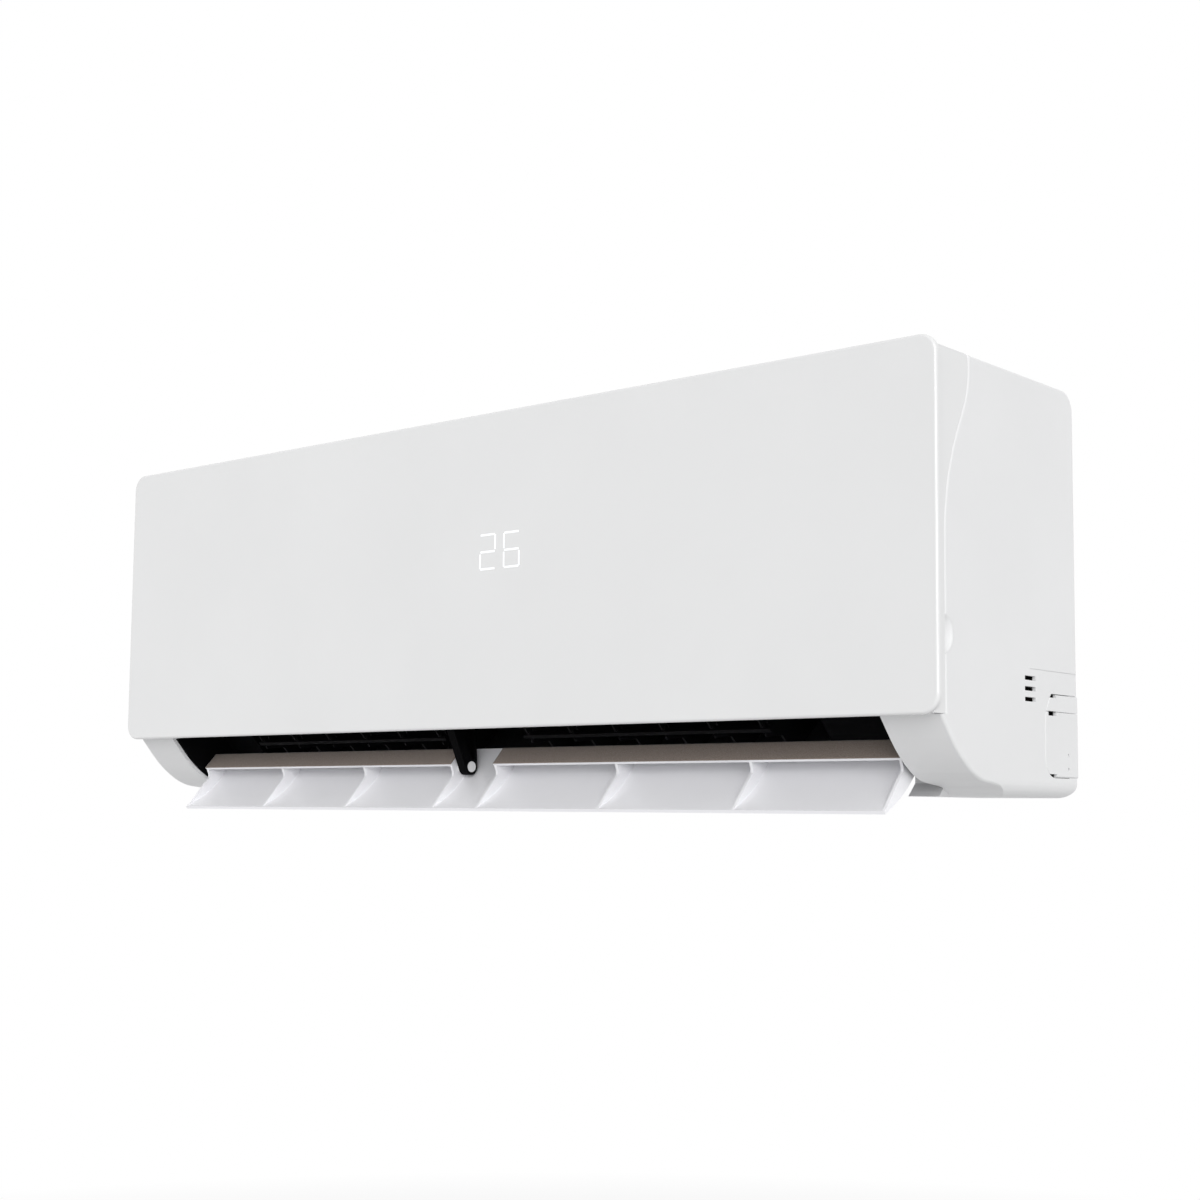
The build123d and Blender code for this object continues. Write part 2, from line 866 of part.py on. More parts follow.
def make_front_frame():
    """Outer moulding: sides, feet, cheeks beside the outlet, top rails and front surround."""
    inner = case_half_width - wall
    strip = surround_half_width - wall
    half = outlet_half_width
    rail = case_top - wall
    ring_back = surround_depth + surround_thickness
    outside, hollow = case_body(0), case_body(wall)
    with BuildPart() as front_frame:
        add(outside)
        add(hollow, mode=Mode.SUBTRACT)
        back_low, back_high = case_bottom + rear_foot_rounding, case_top - rear_top_rounding
        back_cut = unit_depth - rear_top_rounding
        side_box(-inner, inner, back_cut, unit_depth + 1, back_low, back_high, Mode.SUBTRACT)
        side_box(-strip, strip, 0, seam_top_depth + wall, chin_start[1], rail, Mode.SUBTRACT)
        below = case_bottom - 1
        side_box(-half, half, 0, unit_depth + 1, below, chin_start[1], Mode.SUBTRACT)
        for x in (-surround_half_width, strip):
            seam_strip(x, x + wall)
        for x in (-half - wall, half):
            cheek_wall(x, x + wall)
        for x_low, x_high in ((-half, -foot_inner), (foot_inner, half)):
            inner_foot(x_low, x_high)
        inside = foot_inner + wall
        hollow_rear = unit_depth - rear_foot_rounding - wall
        hollow_front = foot_front_depth + foot_slant + wall
        for x_low, x_high in ((-half, -inside), (inside, half)):
            low = case_bottom + wall
            side_box(x_low, x_high, hollow_front, hollow_rear, low, lip[1], Mode.SUBTRACT)
        side_box(-strip, strip, surround_depth, ring_back, chin_start[1], rail)
        side_box(-strip, strip, surround_depth, seam_top_depth + wall, rail, case_top)
        side_box(-half, half, ring_back, chin_rail_depth, chin_start[1], chin_start[1] + wall)
        for x_low, x_high in ((-bay_outer, -bay_inner), (bay_inner, bay_outer)):
            side_box(x_low, x_high, 0, ring_back, bay_low, filter_bay_top, Mode.SUBTRACT)
            filter_ledge(x_low, x_high, ring_back)
        grille_ledge()
        for x in catch_places:
            low, high = catch_height - catch_slot_below, catch_height + catch_slot_above
            slot = catch_half_width + face_gap
            side_box(x - slot, x + slot, 0, ring_back + 1, low, high, Mode.SUBTRACT)
        for x in screw_places:
            depth_rod(x, case_screw_height, 0, ring_back + 1, screw_hole, Mode.SUBTRACT)
        depth_rod(*button_place, 0, ring_back + 1, button_radius + button_play, Mode.SUBTRACT)
        for x in (-surround_half_width - 1, strip - 1):
            hinge_bore = hinge_pin_radius + running_gap
            rod(x, x + wall + 2, hinge_point, hinge_bore, Mode.SUBTRACT)
        for x in (-half - wall - 1, half - 1):
            rod(x, x + wall + 2, flap_axis, bush_radius, Mode.SUBTRACT)
        side_cutouts(inner, case_half_width)
        side_cutouts(-case_half_width, -inner)
        for x_low in (-case_half_width, case_half_width - groove_cut):
            low, high = groove_height - groove_width / 2, groove_height + groove_width / 2
            x_high = x_low + groove_cut
            side_box(x_low, x_high, groove_start, unit_depth, low, high, Mode.SUBTRACT)
        for x in (-surround_half_width, strip):
            side_box(x, x + wall, surround_depth, notch_floor_depth, notch_floor_low, notch_floor_high)
    front_frame.part.label = "front_frame"
    export_step(front_frame.part, "parts/front_frame.step")


def filter_ledge(x_low, x_high, depth):
    """Add the narrow ledge that a filter rests against."""
    back = depth + ledge_thickness
    lap = ledge_width / 2
    for low in (bay_low - lap, filter_bay_top - ledge_width):
        side_box(x_low - lap, x_high + lap, depth, back, low, low + lap + ledge_width)
    for left in (x_low - lap, x_high - ledge_width):
        side_box(left, left + lap + ledge_width, depth, back, bay_low, filter_bay_top)


def grille_ledge():
    """Cut the grille's opening in the top and add the ledge under its edge."""
    half = grille_half_width
    rail = case_top - wall
    side_box(-half, half, grille_front, grille_back, rail - 1, case_top + 1, Mode.SUBTRACT)
    edge = grille_ledge_width
    low = rail - ledge_thickness
    for front in (grille_front - edge, grille_back - edge):
        side_box(-half - edge, half + edge, front, front + 2 * edge, low, rail)
    for left in (-half - edge, half - edge):
        side_box(left, left + 2 * edge, grille_front, grille_back, low, rail)


def make_inlet_grille():
    """Slotted grille in the case's top, where the air is drawn in."""
    half = grille_half_width - grille_gap
    front, back = grille_front + grille_gap, grille_back - grille_gap
    column_pitch = 2 * half / grille_columns
    row_pitch = (back - front) / grille_rows
    y, z = side((front + back) / 2, case_top - wall)
    with BuildPart() as inlet_grille:
        with BuildSketch(Plane.XY.offset(z)):
            with Locations((0, y)):
                Rectangle(2 * half, back - front)
            with Locations((0, y)):
                with GridLocations(column_pitch, row_pitch, grille_columns, grille_rows):
                    slot_size = (column_pitch - grille_bar, row_pitch - grille_bar)
                    Rectangle(*slot_size, mode=Mode.SUBTRACT)
        extrude(amount=wall)
    inlet_grille.part.label = "inlet_grille"
    export_step(inlet_grille.part, "parts/inlet_grille.step")


def make_knockouts():
    """Break-out covers in the window at the lower rear of each side, an upper and a lower one."""
    inner = case_half_width - wall
    for name, x_low in (("right_pipe_knockouts", inner), ("left_pipe_knockouts", -case_half_width)):
        with BuildPart() as knockouts:
            with BuildSketch(side_plane(x_low)) as cover:
                with BuildLine():
                    knockout_edge()
                make_face()
                offset(amount=-knockout_gap, kind=Kind.INTERSECTION, mode=Mode.REPLACE)
            extrude(cover.sketch, amount=wall)
            outer_face = knockouts.faces().sort_by(Axis.X)[-1 if x_low > 0 else 0]
            shown_edges = [edge for edge in outer_face.edges() if edge.center().Y < side(unit_depth, 0)[0]]
            fillet(shown_edges, knockout_rounding)
            cut_low, cut_high = knockout_step - knockout_gap, knockout_step
            x_high = x_low + wall
            rear = unit_depth + 2
            side_box(x_low, x_high, 0, rear, cut_low, cut_high, Mode.SUBTRACT)
            side_box(x_low, x_high, unit_depth, rear, knockout_low - 1, case_top, Mode.SUBTRACT)
            for height in knockout_marks:
                low, high = height, height + mark_height
                side_box(x_low, x_high, mark_depths[0], mark_depths[1], low, high, Mode.SUBTRACT)
            for height in dimple_heights:
                rod(x_low, x_high, (dimple_depth, height), dimple_radius, Mode.SUBTRACT)
        knockouts.part.label = name
        export_step(knockouts.part, f"parts/{name}.step")


# ---- hinged front panel ----
def skirt(x_low, x_high):
    """Add one side skirt, whose rear edge follows the seam round the hinge."""
    foot = chin_start[1] + skirt_foot_gap
    with BuildSketch(side_plane(x_low)) as outline:
        with BuildLine():
            y, z = side(*hinge_point)
            round_top = JernArc((y, z + skirt_corner), (1, 0), skirt_corner, -90)
            drop = Line(round_top @ 1, side(seam_top_depth - face_gap, case_top - seam_top_straight))
            upper = JernArc(drop @ 1, drop % 1, seam_upper_radius, -seam_turn)
            slant = PolarLine(upper @ 1, seam_slant, direction=upper % 1)
            lower = JernArc(slant @ 1, slant % 1, seam_lower_radius, seam_turn)
            Polyline(
                lower @ 1,
                ((lower @ 1).X, side(0, foot)[1]),
                side(panel_thickness, foot),
                (side(panel_thickness, 0)[0], z + skirt_corner),
                round_top @ 0,
            )
        make_face()
    extrude(outline.sketch, amount=x_high - x_low)


def segment_outlines():
    """Return the lit segments of the two digits as (X, height, width, height size)."""
    half = digit_height / 2
    bar = digit_width - segment_width
    post = half - segment_width
    shapes = {
        "top": (digit_width / 2, digit_height - segment_width / 2, bar, segment_width),
        "middle": (digit_width / 2, half, bar, segment_width),
        "bottom": (digit_width / 2, segment_width / 2, bar, segment_width),
        "upper_left": (segment_width / 2, half + half / 2, segment_width, post),
        "upper_right": (digit_width - segment_width / 2, half + half / 2, segment_width, post),
        "lower_left": (segment_width / 2, half / 2, segment_width, post),
        "lower_right": (digit_width - segment_width / 2, half / 2, segment_width, post),
    }
    two = ("top", "upper_right", "middle", "lower_left", "bottom")
    six = ("top", "upper_left", "middle", "lower_left", "lower_right", "bottom")
    lit = []
    for column, names in enumerate((two, six)):
        left = digit_left + column * digit_spacing
        for name in names:
            x, height, width, tall = shapes[name]
            lit.append((left + x, digit_low + height, width, tall))
    return lit


def digit_segments(mode=Mode.ADD):
    """Add or cut the lit segments in the panel's face."""
    for x, height, width, tall in segment_outlines():
        wide, high = width / 2 - segment_gap, tall / 2 - segment_gap
        side_box(x - wide, x + wide, 0, segment_depth, height - high, height + high, mode)


def make_front_panel():
    """Flat glossy front with rounded corners, skirts, hinge pins and catches."""
    y, z = side(panel_thickness, panel_height / 2)
    front_plane = Plane((0, y, z), x_dir=(1, 0, 0), z_dir=(0, -1, 0))
    inner = case_half_width - skirt_thickness
    pin_inner = surround_half_width - wall
    with BuildPart() as front_panel:
        with BuildSketch(front_plane):
            RectangleRounded(panel_width, panel_height, panel_corner)
        extrude(amount=panel_thickness)
        face_edges = front_panel.faces().sort_by(Axis.Y)[0].edges()
        fillet(face_edges, panel_edge_rounding)
        skirt(inner, case_half_width)
        skirt(-case_half_width, -inner)
        back = panel_thickness + panel_rib
        for x in panel_rib_places:
            side_box(x - 1, x + 1, panel_thickness, back, panel_rib_low, panel_rib_high)
        for height in (panel_rib_low, panel_rib_high):
            ends = panel_rib_places[-1]
            side_box(-ends, ends, panel_thickness, back, height - 1, height + 1)
        for x in catch_places:
            low, high = x - catch_half_width, x + catch_half_width
            top = catch_height + catch_thickness
            side_box(low, high, panel_thickness, catch_depth, catch_height, top)
        rod(pin_inner, inner, hinge_point, hinge_pin_radius)
        rod(-inner, -pin_inner, hinge_point, hinge_pin_radius)
        digit_segments(Mode.SUBTRACT)
    front_panel.part.label = "front_panel"
    export_step(front_panel.part, "parts/front_panel.step")


def make_display():
    """Lit segments set in the panel's face, and the board behind them."""
    with BuildPart() as display_segments:
        digit_segments()
    display_segments.part.label = "display_segments"
    export_step(display_segments.part, "parts/display_segments.step")
    right = digit_left + digit_spacing + digit_width + display_margin
    low, high = digit_low - display_margin, digit_low + digit_height + display_margin
    with BuildPart() as display_board:
        left = digit_left - display_margin
        side_box(left, right, panel_thickness, panel_thickness + display_depth, low, high)
    display_board.part.label = "display_board"
    export_step(display_board.part, "parts/display_board.step")


# ---- outlet flap ----
def flap_belly(inset):
    """Draw the closed flap's underside in its own axes, inset into the case."""
    trim = (flap_tip_depth - chin_start[0]) / math.cos(math.radians(chin_slope))
    return belly_line(flap_point, inset, trim, flap_heel_depth)


def flap_rib(x):
    """Add one web between the flap's skin and its blade."""
    with BuildSketch(flap_plane(x - rib_thickness / 2)) as web:
        with BuildLine():
            chin, tail = flap_belly(flap_skin - rib_fuse)
            underside = -flock_thickness - blade_thickness
            seat = [blade_corner(blade_heel, underside), blade_corner(blade_tip, underside)]
            edge = [flap_point(*point) for point in rib_edge]
            Polyline(tail @ 1, flap_point(*rib_heel), *seat, *edge, chin @ 0)
        make_face()
    extrude(web.sketch, amount=rib_thickness)


def make_outlet_flap():
    """Curved flap that closes the outlet: skin, webs and end pins in one moulding."""
    with BuildPart() as outlet_flap:
        with BuildSketch(flap_plane(-flap_half_width)):
            with BuildLine():
                outer_chin, outer_tail = flap_belly(0.0)
                inner_chin, inner_tail = flap_belly(flap_skin)
                Line(outer_chin @ 0, inner_chin @ 0)
                Line(outer_tail @ 1, inner_tail @ 1)
            make_face()
        extrude(amount=2 * flap_half_width)
        for x in rib_places:
            flap_rib(x)
        rod(-flap_half_width - end_pin_length, -flap_half_width, flap_axis, end_pin_radius)
        rod(flap_half_width, flap_half_width + drive_pin_length, flap_axis, end_pin_radius)
        hole_low = middle_cell[0] - rib_thickness
        hole_high = middle_cell[0] + rib_thickness
        rod(hole_low, hole_high, flap_axis, flap_pin_radius + running_gap, Mode.SUBTRACT)
    outlet_flap.part.label = "outlet_flap"
    export_step(outlet_flap.part, "parts/outlet_flap.step")


def blade_corner(end, level):
    """Return a point of the flap's own axes, level above one end of the blade's felt."""
    along = (Vector(*blade_heel) - Vector(*blade_tip)).normalized()
    lift = Vector(-along.Y, along.X)
    corner = Vector(*flap_point(*end)) + lift * level
    return (corner.X, corner.Y)


def blade_section(x_low, x_high, level_low, level_high):
    """Add a strip along the blade between two levels, from x_low to x_high."""
    corners = [
        blade_corner(blade_tip, level_low),
        blade_corner(blade_heel, level_low),
        blade_corner(blade_heel, level_high),
        blade_corner(blade_tip, level_high),
    ]
    with BuildSketch(flap_plane(x_low)) as strip:
        with BuildLine():
            Polyline(*corners, close=True)
        make_face()
    extrude(strip.sketch, amount=x_high - x_low)


def make_flap_blades():
    """Flat inner blades on the webs, with a strip of felt on each."""
    spans = (
        (-flap_half_width, middle_cell[0] + rib_thickness / 2),
        (middle_cell[1] - rib_thickness / 2, flap_half_width),
    )
    with BuildPart() as flap_blades:
        for x_low, x_high in spans:
            blade_section(x_low, x_high, -flock_thickness - blade_thickness, -flock_thickness)
    flap_blades.part.label = "flap_blades"
    export_step(flap_blades.part, "parts/flap_blades.step")
    with BuildPart() as flock_strips:
        for x_low, x_high in spans:
            blade_section(x_low, x_high, -flock_thickness, 0.0)
    flock_strips.part.label = "flock_strips"
    export_step(flock_strips.part, "parts/flock_strips.step")


def make_flap_supports():
    """Middle pin and its arm, end bushes and the motor that turns the flap."""
    rib_left = middle_cell[0] - rib_thickness / 2
    with BuildPart() as flap_centre_pin:
        rod(rib_left - pin_head, rib_left, flap_axis, pin_head_radius)
        rod(rib_left, bracket_right + pin_show, flap_axis, flap_pin_radius)
    flap_centre_pin.part.label = "flap_centre_pin"
    export_step(flap_centre_pin.part, "parts/flap_centre_pin.step")

    arm_front = duct_point(arm_reaches[0], duct_height)
    arm_back = duct_point(arm_reaches[1], duct_height)
    eye_front = (flap_axis[0] - arm_half_front, flap_axis[1] - arm_drop)
    eye_back = (flap_axis[0] + arm_half_back, flap_axis[1])
    inset_front = (arm_front[0] + arm_flange, arm_front[1] + arm_flange)
    with BuildPart() as flap_bracket:
        side_prism(bracket_left, bracket_right, [eye_front, arm_front, arm_back, eye_back])
        rod(bracket_left, bracket_right, flap_axis, bracket_eye)
        pocket = [
            (flap_axis[0] + 1.0, flap_axis[1] + bracket_eye),
            inset_front,
            (arm_back[0] - arm_flange, arm_back[1] - 2 * arm_flange),
            (eye_back[0] - arm_flange, flap_axis[1] + bracket_eye),
        ]
        web = bracket_left + arm_web
        side_prism(web, bracket_right, pocket, Mode.SUBTRACT)
        hole = flap_pin_radius + running_gap
        rod(bracket_left, bracket_right, flap_axis, hole, Mode.SUBTRACT)
    flap_bracket.part.label = "flap_bracket"
    export_step(flap_bracket.part, "parts/flap_bracket.step")

    cheek = outlet_half_width + wall
    bore = end_pin_radius + running_gap
    with BuildPart() as flap_bushes:
        for x_low in (-cheek - bush_flange, outlet_half_width):
            x_high = x_low + wall + bush_flange
            rod(x_low, x_high, flap_axis, bush_radius - bush_gap)
            rod(x_low, x_high, flap_axis, bore, Mode.SUBTRACT)
    flap_bushes.part.label = "flap_bushes"
    export_step(flap_bushes.part, "parts/flap_bushes.step")

    motor_left = cheek + bush_flange
    body_centre = (flap_axis[0] + motor_offset[0], flap_axis[1] + motor_offset[1])
    with BuildPart() as flap_motor:
        rod(motor_left, motor_left + flap_motor_length, body_centre, flap_motor_radius)
        ear_low, ear_high = body_centre[1] - ear_half, body_centre[1] + ear_half
        front, back = body_centre[0] - ear_reach, body_centre[0] + ear_reach
        side_box(motor_left, motor_left + 1, front, back, ear_low, ear_high)
        for depth in (front + ear_half, back - ear_half):
            rod(cheek, motor_left, (depth, body_centre[1]), ear_half)
        pin_end = flap_half_width + drive_pin_length + 1
        rod(cheek, pin_end, flap_axis, bore, Mode.SUBTRACT)
    flap_motor.part.label = "flap_motor"
    export_step(flap_motor.part, "parts/flap_motor.step")


# ---- duct, drain pan and vanes ----
def outlet_liner(x_low, x_high):
    """Add the black lining of one end of the outlet, with a hole for the flap's pin."""
    sheet_middle = duct_height + duct_sheet / 2
    with BuildSketch(side_plane(x_low)) as lining:
        with BuildLine():
            chin, tail = belly_line(side, liner_inset, liner_trim)
            Polyline(
                tail @ 1,
                side(lip[0], lip[1] + lip_floor),
                side(*duct_point(closing_reach + 1, 0)),
                side(*duct_point(closing_reach + 1, sheet_middle)),
                side(*duct_point(duct_front_reach + 1, sheet_middle)),
                side(liner_rail_depth, chin_start[1] - 1),
                chin @ 0,
            )
        make_face()
    extrude(lining.sketch, amount=x_high - x_low)
    rod(x_low, x_high, flap_axis, end_pin_radius + face_gap, Mode.SUBTRACT)


def make_outlet_duct():
    """Black duct behind the outlet: its roof, side walls and closing panels."""
    left, right = duct_left - scroll_sheet, duct_right + scroll_sheet
    half = outlet_half_width
    roof = duct_height + duct_sheet
    panel_back = closing_reach + duct_sheet
    with BuildPart() as outlet_duct:
        front, tongue = duct_front_reach, tongue_reach
        mouth = [(front, duct_height), (panel_back, duct_height), (panel_back, roof), (front, roof)]
        duct_prism(-half, half, mouth)
        throat = [(front, duct_height), (tongue, duct_height), (tongue, roof), (front, roof)]
        duct_prism(left, right, throat)
        cheek = [(closing_reach, 0), (side_wall_reach, 0), (side_wall_reach, roof), (closing_reach, roof)]
        duct_prism(left, duct_left, cheek)
        duct_prism(duct_right, right, cheek)
        drop = -closing_drop
        closing = [(closing_reach, drop), (panel_back, drop), (panel_back, roof), (closing_reach, roof)]
        duct_prism(-half, left, closing)
        duct_prism(right, half, closing)
        for x_low in (-half, half - liner_thickness):
            outlet_liner(x_low, x_low + liner_thickness)
        for x in screw_places:
            boss_front = surround_depth + surround_thickness
            depth_rod(x, case_screw_height, boss_front, boss_end, boss_radius)
            depth_rod(x, case_screw_height, boss_front, boss_end - 2, screw_hole, Mode.SUBTRACT)
        for x in vane_places():
            vane_hole(x, duct_height - 1, roof + 1)
    outlet_duct.part.label = "outlet_duct"
    export_step(outlet_duct.part, "parts/outlet_duct.step")


def make_drain_pan():
    """Trough under the front of the coil, and the elbow that leads its water to the wall."""
    left, right = duct_left - pan_overhang, duct_right + pan_overhang
    low_level = duct_height + duct_sheet + pan_gap
    high_level = low_level + duct_sheet
    foot = duct_point(pan_foot_reach, low_level)
    brim_low = duct_point(tongue_reach, low_level)
    brim_high = duct_point(tongue_reach, high_level)
    floor = pan_floor + duct_sheet
    inner_foot_depth = foot[0] - duct_sheet / 2
    front_wall = [(pan_front, pan_top), (pan_front, pan_floor), (foot[0], pan_floor)]
    inside = [(inner_foot_depth, floor), (pan_front + duct_sheet, floor)]
    outline = front_wall + [brim_low, brim_high] + inside + [(pan_front + duct_sheet, pan_top)]
    end_outline = front_wall + [brim_low, brim_high, (brim_high[0], pan_top)]
    with BuildPart() as drain_pan:
        side_prism(left, right, outline)
        side_prism(left, left + duct_sheet, end_outline)
        side_prism(right - duct_sheet, right, end_outline)
        rod(left - pan_outlet, left, (pan_outlet_depth, pan_outlet_height), drain_bore)
        bore = drain_bore - pipe_wall
        centre = (pan_outlet_depth, pan_outlet_height)
        rod(left - pan_outlet, left + duct_sheet, centre, bore, Mode.SUBTRACT)
    drain_pan.part.label = "drain_pan"
    export_step(drain_pan.part, "parts/drain_pan.step")

    start_x = left - pan_outlet + elbow_overlap
    start_y, start_z = side(pan_outlet_depth, pan_outlet_height)
    end_y, end_z = side(unit_depth - drain_tip_gap, drain_level)
    bend_y = end_y - drain_length - drain_bend / 2
    with BuildPart() as drain_elbow:
        route = [
            (start_x, start_y, start_z),
            (drain_x, start_y, start_z),
            (drain_x, bend_y, end_z),
            (drain_x, end_y, end_z),
        ]
        bent_rod(route, drain_bend, drain_radius, drain_bore + bush_gap)
    drain_elbow.part.label = "drain_elbow"
    export_step(drain_elbow.part, "parts/drain_elbow.step")


def vane_outline():
    """Return a vane's outline in the duct's axes, with the notch for its link bar."""
    low, high = vane_clearance, duct_height - vane_clearance
    notch_low = vane_link_level - link_notch / 2
    notch_high = vane_link_level + link_notch / 2
    tip = vane_link_reach - link_tip
    notch_back = vane_link_reach + link_width
    return [
        (vane_front_low, low),
        (vane_rear, low),
        (vane_rear, vane_shoulder),
        (vane_rear_high, high),
        (vane_front_high, high),
        (tip, vane_brow),
        (tip, notch_high),
        (notch_back, notch_high),
        (notch_back, notch_low),
        (tip, notch_low),
        (tip, vane_throat),
        (vane_heel, vane_heel_level),
    ]


def make_vanes():
    """Upright vanes, each on its own pivot pins, with a small pin for the link bar."""
    low_end = -scroll_sheet
    for index, x in enumerate(vane_places()):
        set_name = "left" if index < vanes_per_side else "right"
        place = index % vanes_per_side + 1
        driven = place == 1
        with BuildPart() as vane:
            duct_prism(x - vane_thickness / 2, x + vane_thickness / 2, vane_outline())
            pin_low = low_end - stepper_grip if driven else low_end
            vane_rod(x, vane_pivot_reach, pin_low, vane_clearance + 1, vane_pin_radius)
            top = duct_height - vane_clearance
            vane_rod(x, vane_pivot_reach, top - 1, duct_height + duct_sheet, vane_pin_radius)
            notch_low = vane_link_level - link_notch / 2
            notch_high = vane_link_level + link_notch / 2
            vane_rod(x, vane_link_reach, notch_low - 1, notch_high + 1, link_pin_radius)
        name = f"{set_name}_vane_{place}"
        vane.part.label = name
        export_step(vane.part, f"parts/{name}.step")


def make_link_bars():
    """Flat bars that join each set of vanes at their link pins."""
    places = vane_places()
    sets = (("left_link_bar", places[:vanes_per_side]), ("right_link_bar", places[vanes_per_side:]))
    low = vane_link_level - link_thickness / 2
    high = vane_link_level + link_thickness / 2
    front, back = vane_link_reach - link_width / 2, vane_link_reach + link_width / 2
    hole = link_pin_radius + running_gap
    for name, row in sets:
        with BuildPart() as link_bar:
            outline = [(front, low), (back, low), (back, high), (front, high)]
            duct_prism(row[0] - link_end, row[-1] + link_end, outline)
            for x in row:
                vane_rod(x, vane_link_reach, low - 1, high + 1, hole, Mode.SUBTRACT)
        link_bar.part.label = name
        export_step(link_bar.part, f"parts/{name}.step")


def make_vane_steppers():
    """Small stepper motors under the duct's floor, one for each set of vanes."""
    places = vane_places()
    top = -scroll_sheet
    with BuildPart() as vane_steppers:
        for x in (places[0], places[vanes_per_side]):
            vane_rod(x, vane_pivot_reach, top - stepper_length, top, stepper_radius)
            grip = top - stepper_grip - 1
            vane_hole(x, grip, top)
    vane_steppers.part.label = "vane_steppers"
    export_step(vane_steppers.part, "parts/vane_steppers.step")


# ---- fan ----
def fan_blade_sketch():
    """Return one forward-curved blade's section, beside the axis along local X."""
    inner_radius = fan_radius - fan_blade_depth
    lag = math.radians(fan_blade_lag)
    inner_end = (inner_radius * math.cos(lag), -inner_radius * math.sin(lag))
    outer_end = (fan_radius - fan_blade_thickness, 0.0)
    middle = ((inner_end[0] + outer_end[0]) / 2, (inner_end[1] + outer_end[1]) / 2)
    with BuildSketch(mode=Mode.PRIVATE) as blade:
        with BuildLine():
            belly_point = (middle[0] + fan_blade_bow, middle[1] - fan_blade_bow)
            hollow_point = (belly_point[0] - fan_blade_thickness, belly_point[1] + fan_blade_thickness)
            inner_side = (inner_end[0], inner_end[1] + fan_blade_thickness)
            outer_side = (outer_end[0] - fan_blade_thickness, outer_end[1])
            ThreePointArc(inner_end, belly_point, outer_end)
            Line(outer_end, outer_side)
            ThreePointArc(outer_side, hollow_point, inner_side)
            Line(inner_side, inner_end)
        make_face()
    return blade.sketch


def make_fan():
    """Cross-flow fan: curved blades between discs, on a steel shaft."""
    section_pitch = (fan_right - fan_left - fan_disc_thickness) / fan_sections
    blade = fan_blade_sketch()
    with BuildPart() as crossflow_fan:
        with BuildSketch(side_plane(fan_left)):
            with Locations(side(*fan_centre)):
                with PolarLocations(0, fan_blades):
                    add(blade)
        extrude(amount=fan_right - fan_left)
        for i in range(fan_sections + 1):
            x = fan_left + i * section_pitch
            with BuildSketch(side_plane(x)) as disc:
                with Locations(side(*fan_centre)):
                    Circle(fan_radius)
                    if 0 < i < fan_sections:
                        Circle(fan_radius - fan_blade_depth - 1, mode=Mode.SUBTRACT)
            extrude(disc.sketch, amount=fan_disc_thickness)
        bore = fan_shaft_radius + shaft_play
        rod(fan_left - 1, fan_right + 1, fan_centre, bore, Mode.SUBTRACT)
    crossflow_fan.part.label = "crossflow_fan"
    export_step(crossflow_fan.part, "parts/crossflow_fan.step")

    with BuildPart() as fan_shaft:
        rod(shaft_left, shaft_right, fan_centre, fan_shaft_radius)
    fan_shaft.part.label = "fan_shaft"
    export_step(fan_shaft.part, "parts/fan_shaft.step")


def make_fan_bearing():
    """Sleeve bearing at the fan's left end, in a rubber seat in the housing."""
    middle = duct_left - scroll_sheet / 2
    low, high = middle - bearing_length / 2, middle + bearing_length / 2
    with BuildPart() as fan_bearing:
        rod(low, high, fan_centre, bearing_radius)
        rod(low, high, fan_centre, fan_shaft_radius + running_gap, Mode.SUBTRACT)
    fan_bearing.part.label = "fan_bearing"
    export_step(fan_bearing.part, "parts/fan_bearing.step")
    low, high = middle - scroll_sheet, middle + scroll_sheet
    with BuildPart() as bearing_rubber:
        rod(low, high, fan_centre, rubber_radius)
        rod(low, duct_left - scroll_sheet, fan_centre, rubber_radius + rubber_lip)
        rod(low, high, fan_centre, bearing_radius, Mode.SUBTRACT)
    bearing_rubber.part.label = "bearing_rubber"
    export_step(bearing_rubber.part, "parts/bearing_rubber.step")


def make_fan_motor():
    """Motor at the fan's right end, held in a band that is fixed to the back wall."""
    low = duct_right + scroll_sheet + motor_gap
    high = low + motor_length
    bore = fan_shaft_radius + running_gap
    with BuildPart() as fan_motor:
        rod(low, high, fan_centre, motor_radius)
        rod(low - motor_boss, low, fan_centre, motor_boss_radius)
        round_edges = fan_motor.edges().filter_by(GeomType.CIRCLE).group_by(SortBy.RADIUS)[-1]
        fillet(round_edges, motor_rounding)
        rod(low - motor_boss, shaft_right + 1, fan_centre, bore, Mode.SUBTRACT)
    fan_motor.part.label = "fan_motor"
    export_step(fan_motor.part, "parts/fan_motor.step")

    band_low = low + (motor_length - band_width) / 2
    band_high = band_low + band_width
    back = unit_depth - plate_thickness - wall
    arm_low, arm_high = fan_centre[1] - band_arm, fan_centre[1] + band_arm
    with BuildPart() as motor_bracket:
        rod(band_low, band_high, fan_centre, motor_radius + band_thickness)
        side_box(band_low, band_high, fan_centre[0], back, arm_low, arm_high)
        rod(band_low, band_high, fan_centre, motor_radius, Mode.SUBTRACT)
    motor_bracket.part.label = "motor_bracket"
    export_step(motor_bracket.part, "parts/motor_bracket.step")


# ---- heat exchanger ----
def slab_directions(slab):
    """Return the directions along a slab and across it."""
    along = (Vector(*slab[1]) - Vector(*slab[0])).normalized()
    return along, Vector(along.Y, -along.X)


def slab_corners(slab, margin):
    """Return a slab's four corners in depth and height, grown by margin."""
    along, across = slab_directions(slab)
    half = coil_thickness / 2 + margin
    start, end = Vector(*slab[0]) - along * margin, Vector(*slab[1]) + along * margin
    corners = (start - across * half, end - across * half, end + across * half, start + across * half)
    return [(corner.X, corner.Y) for corner in corners]


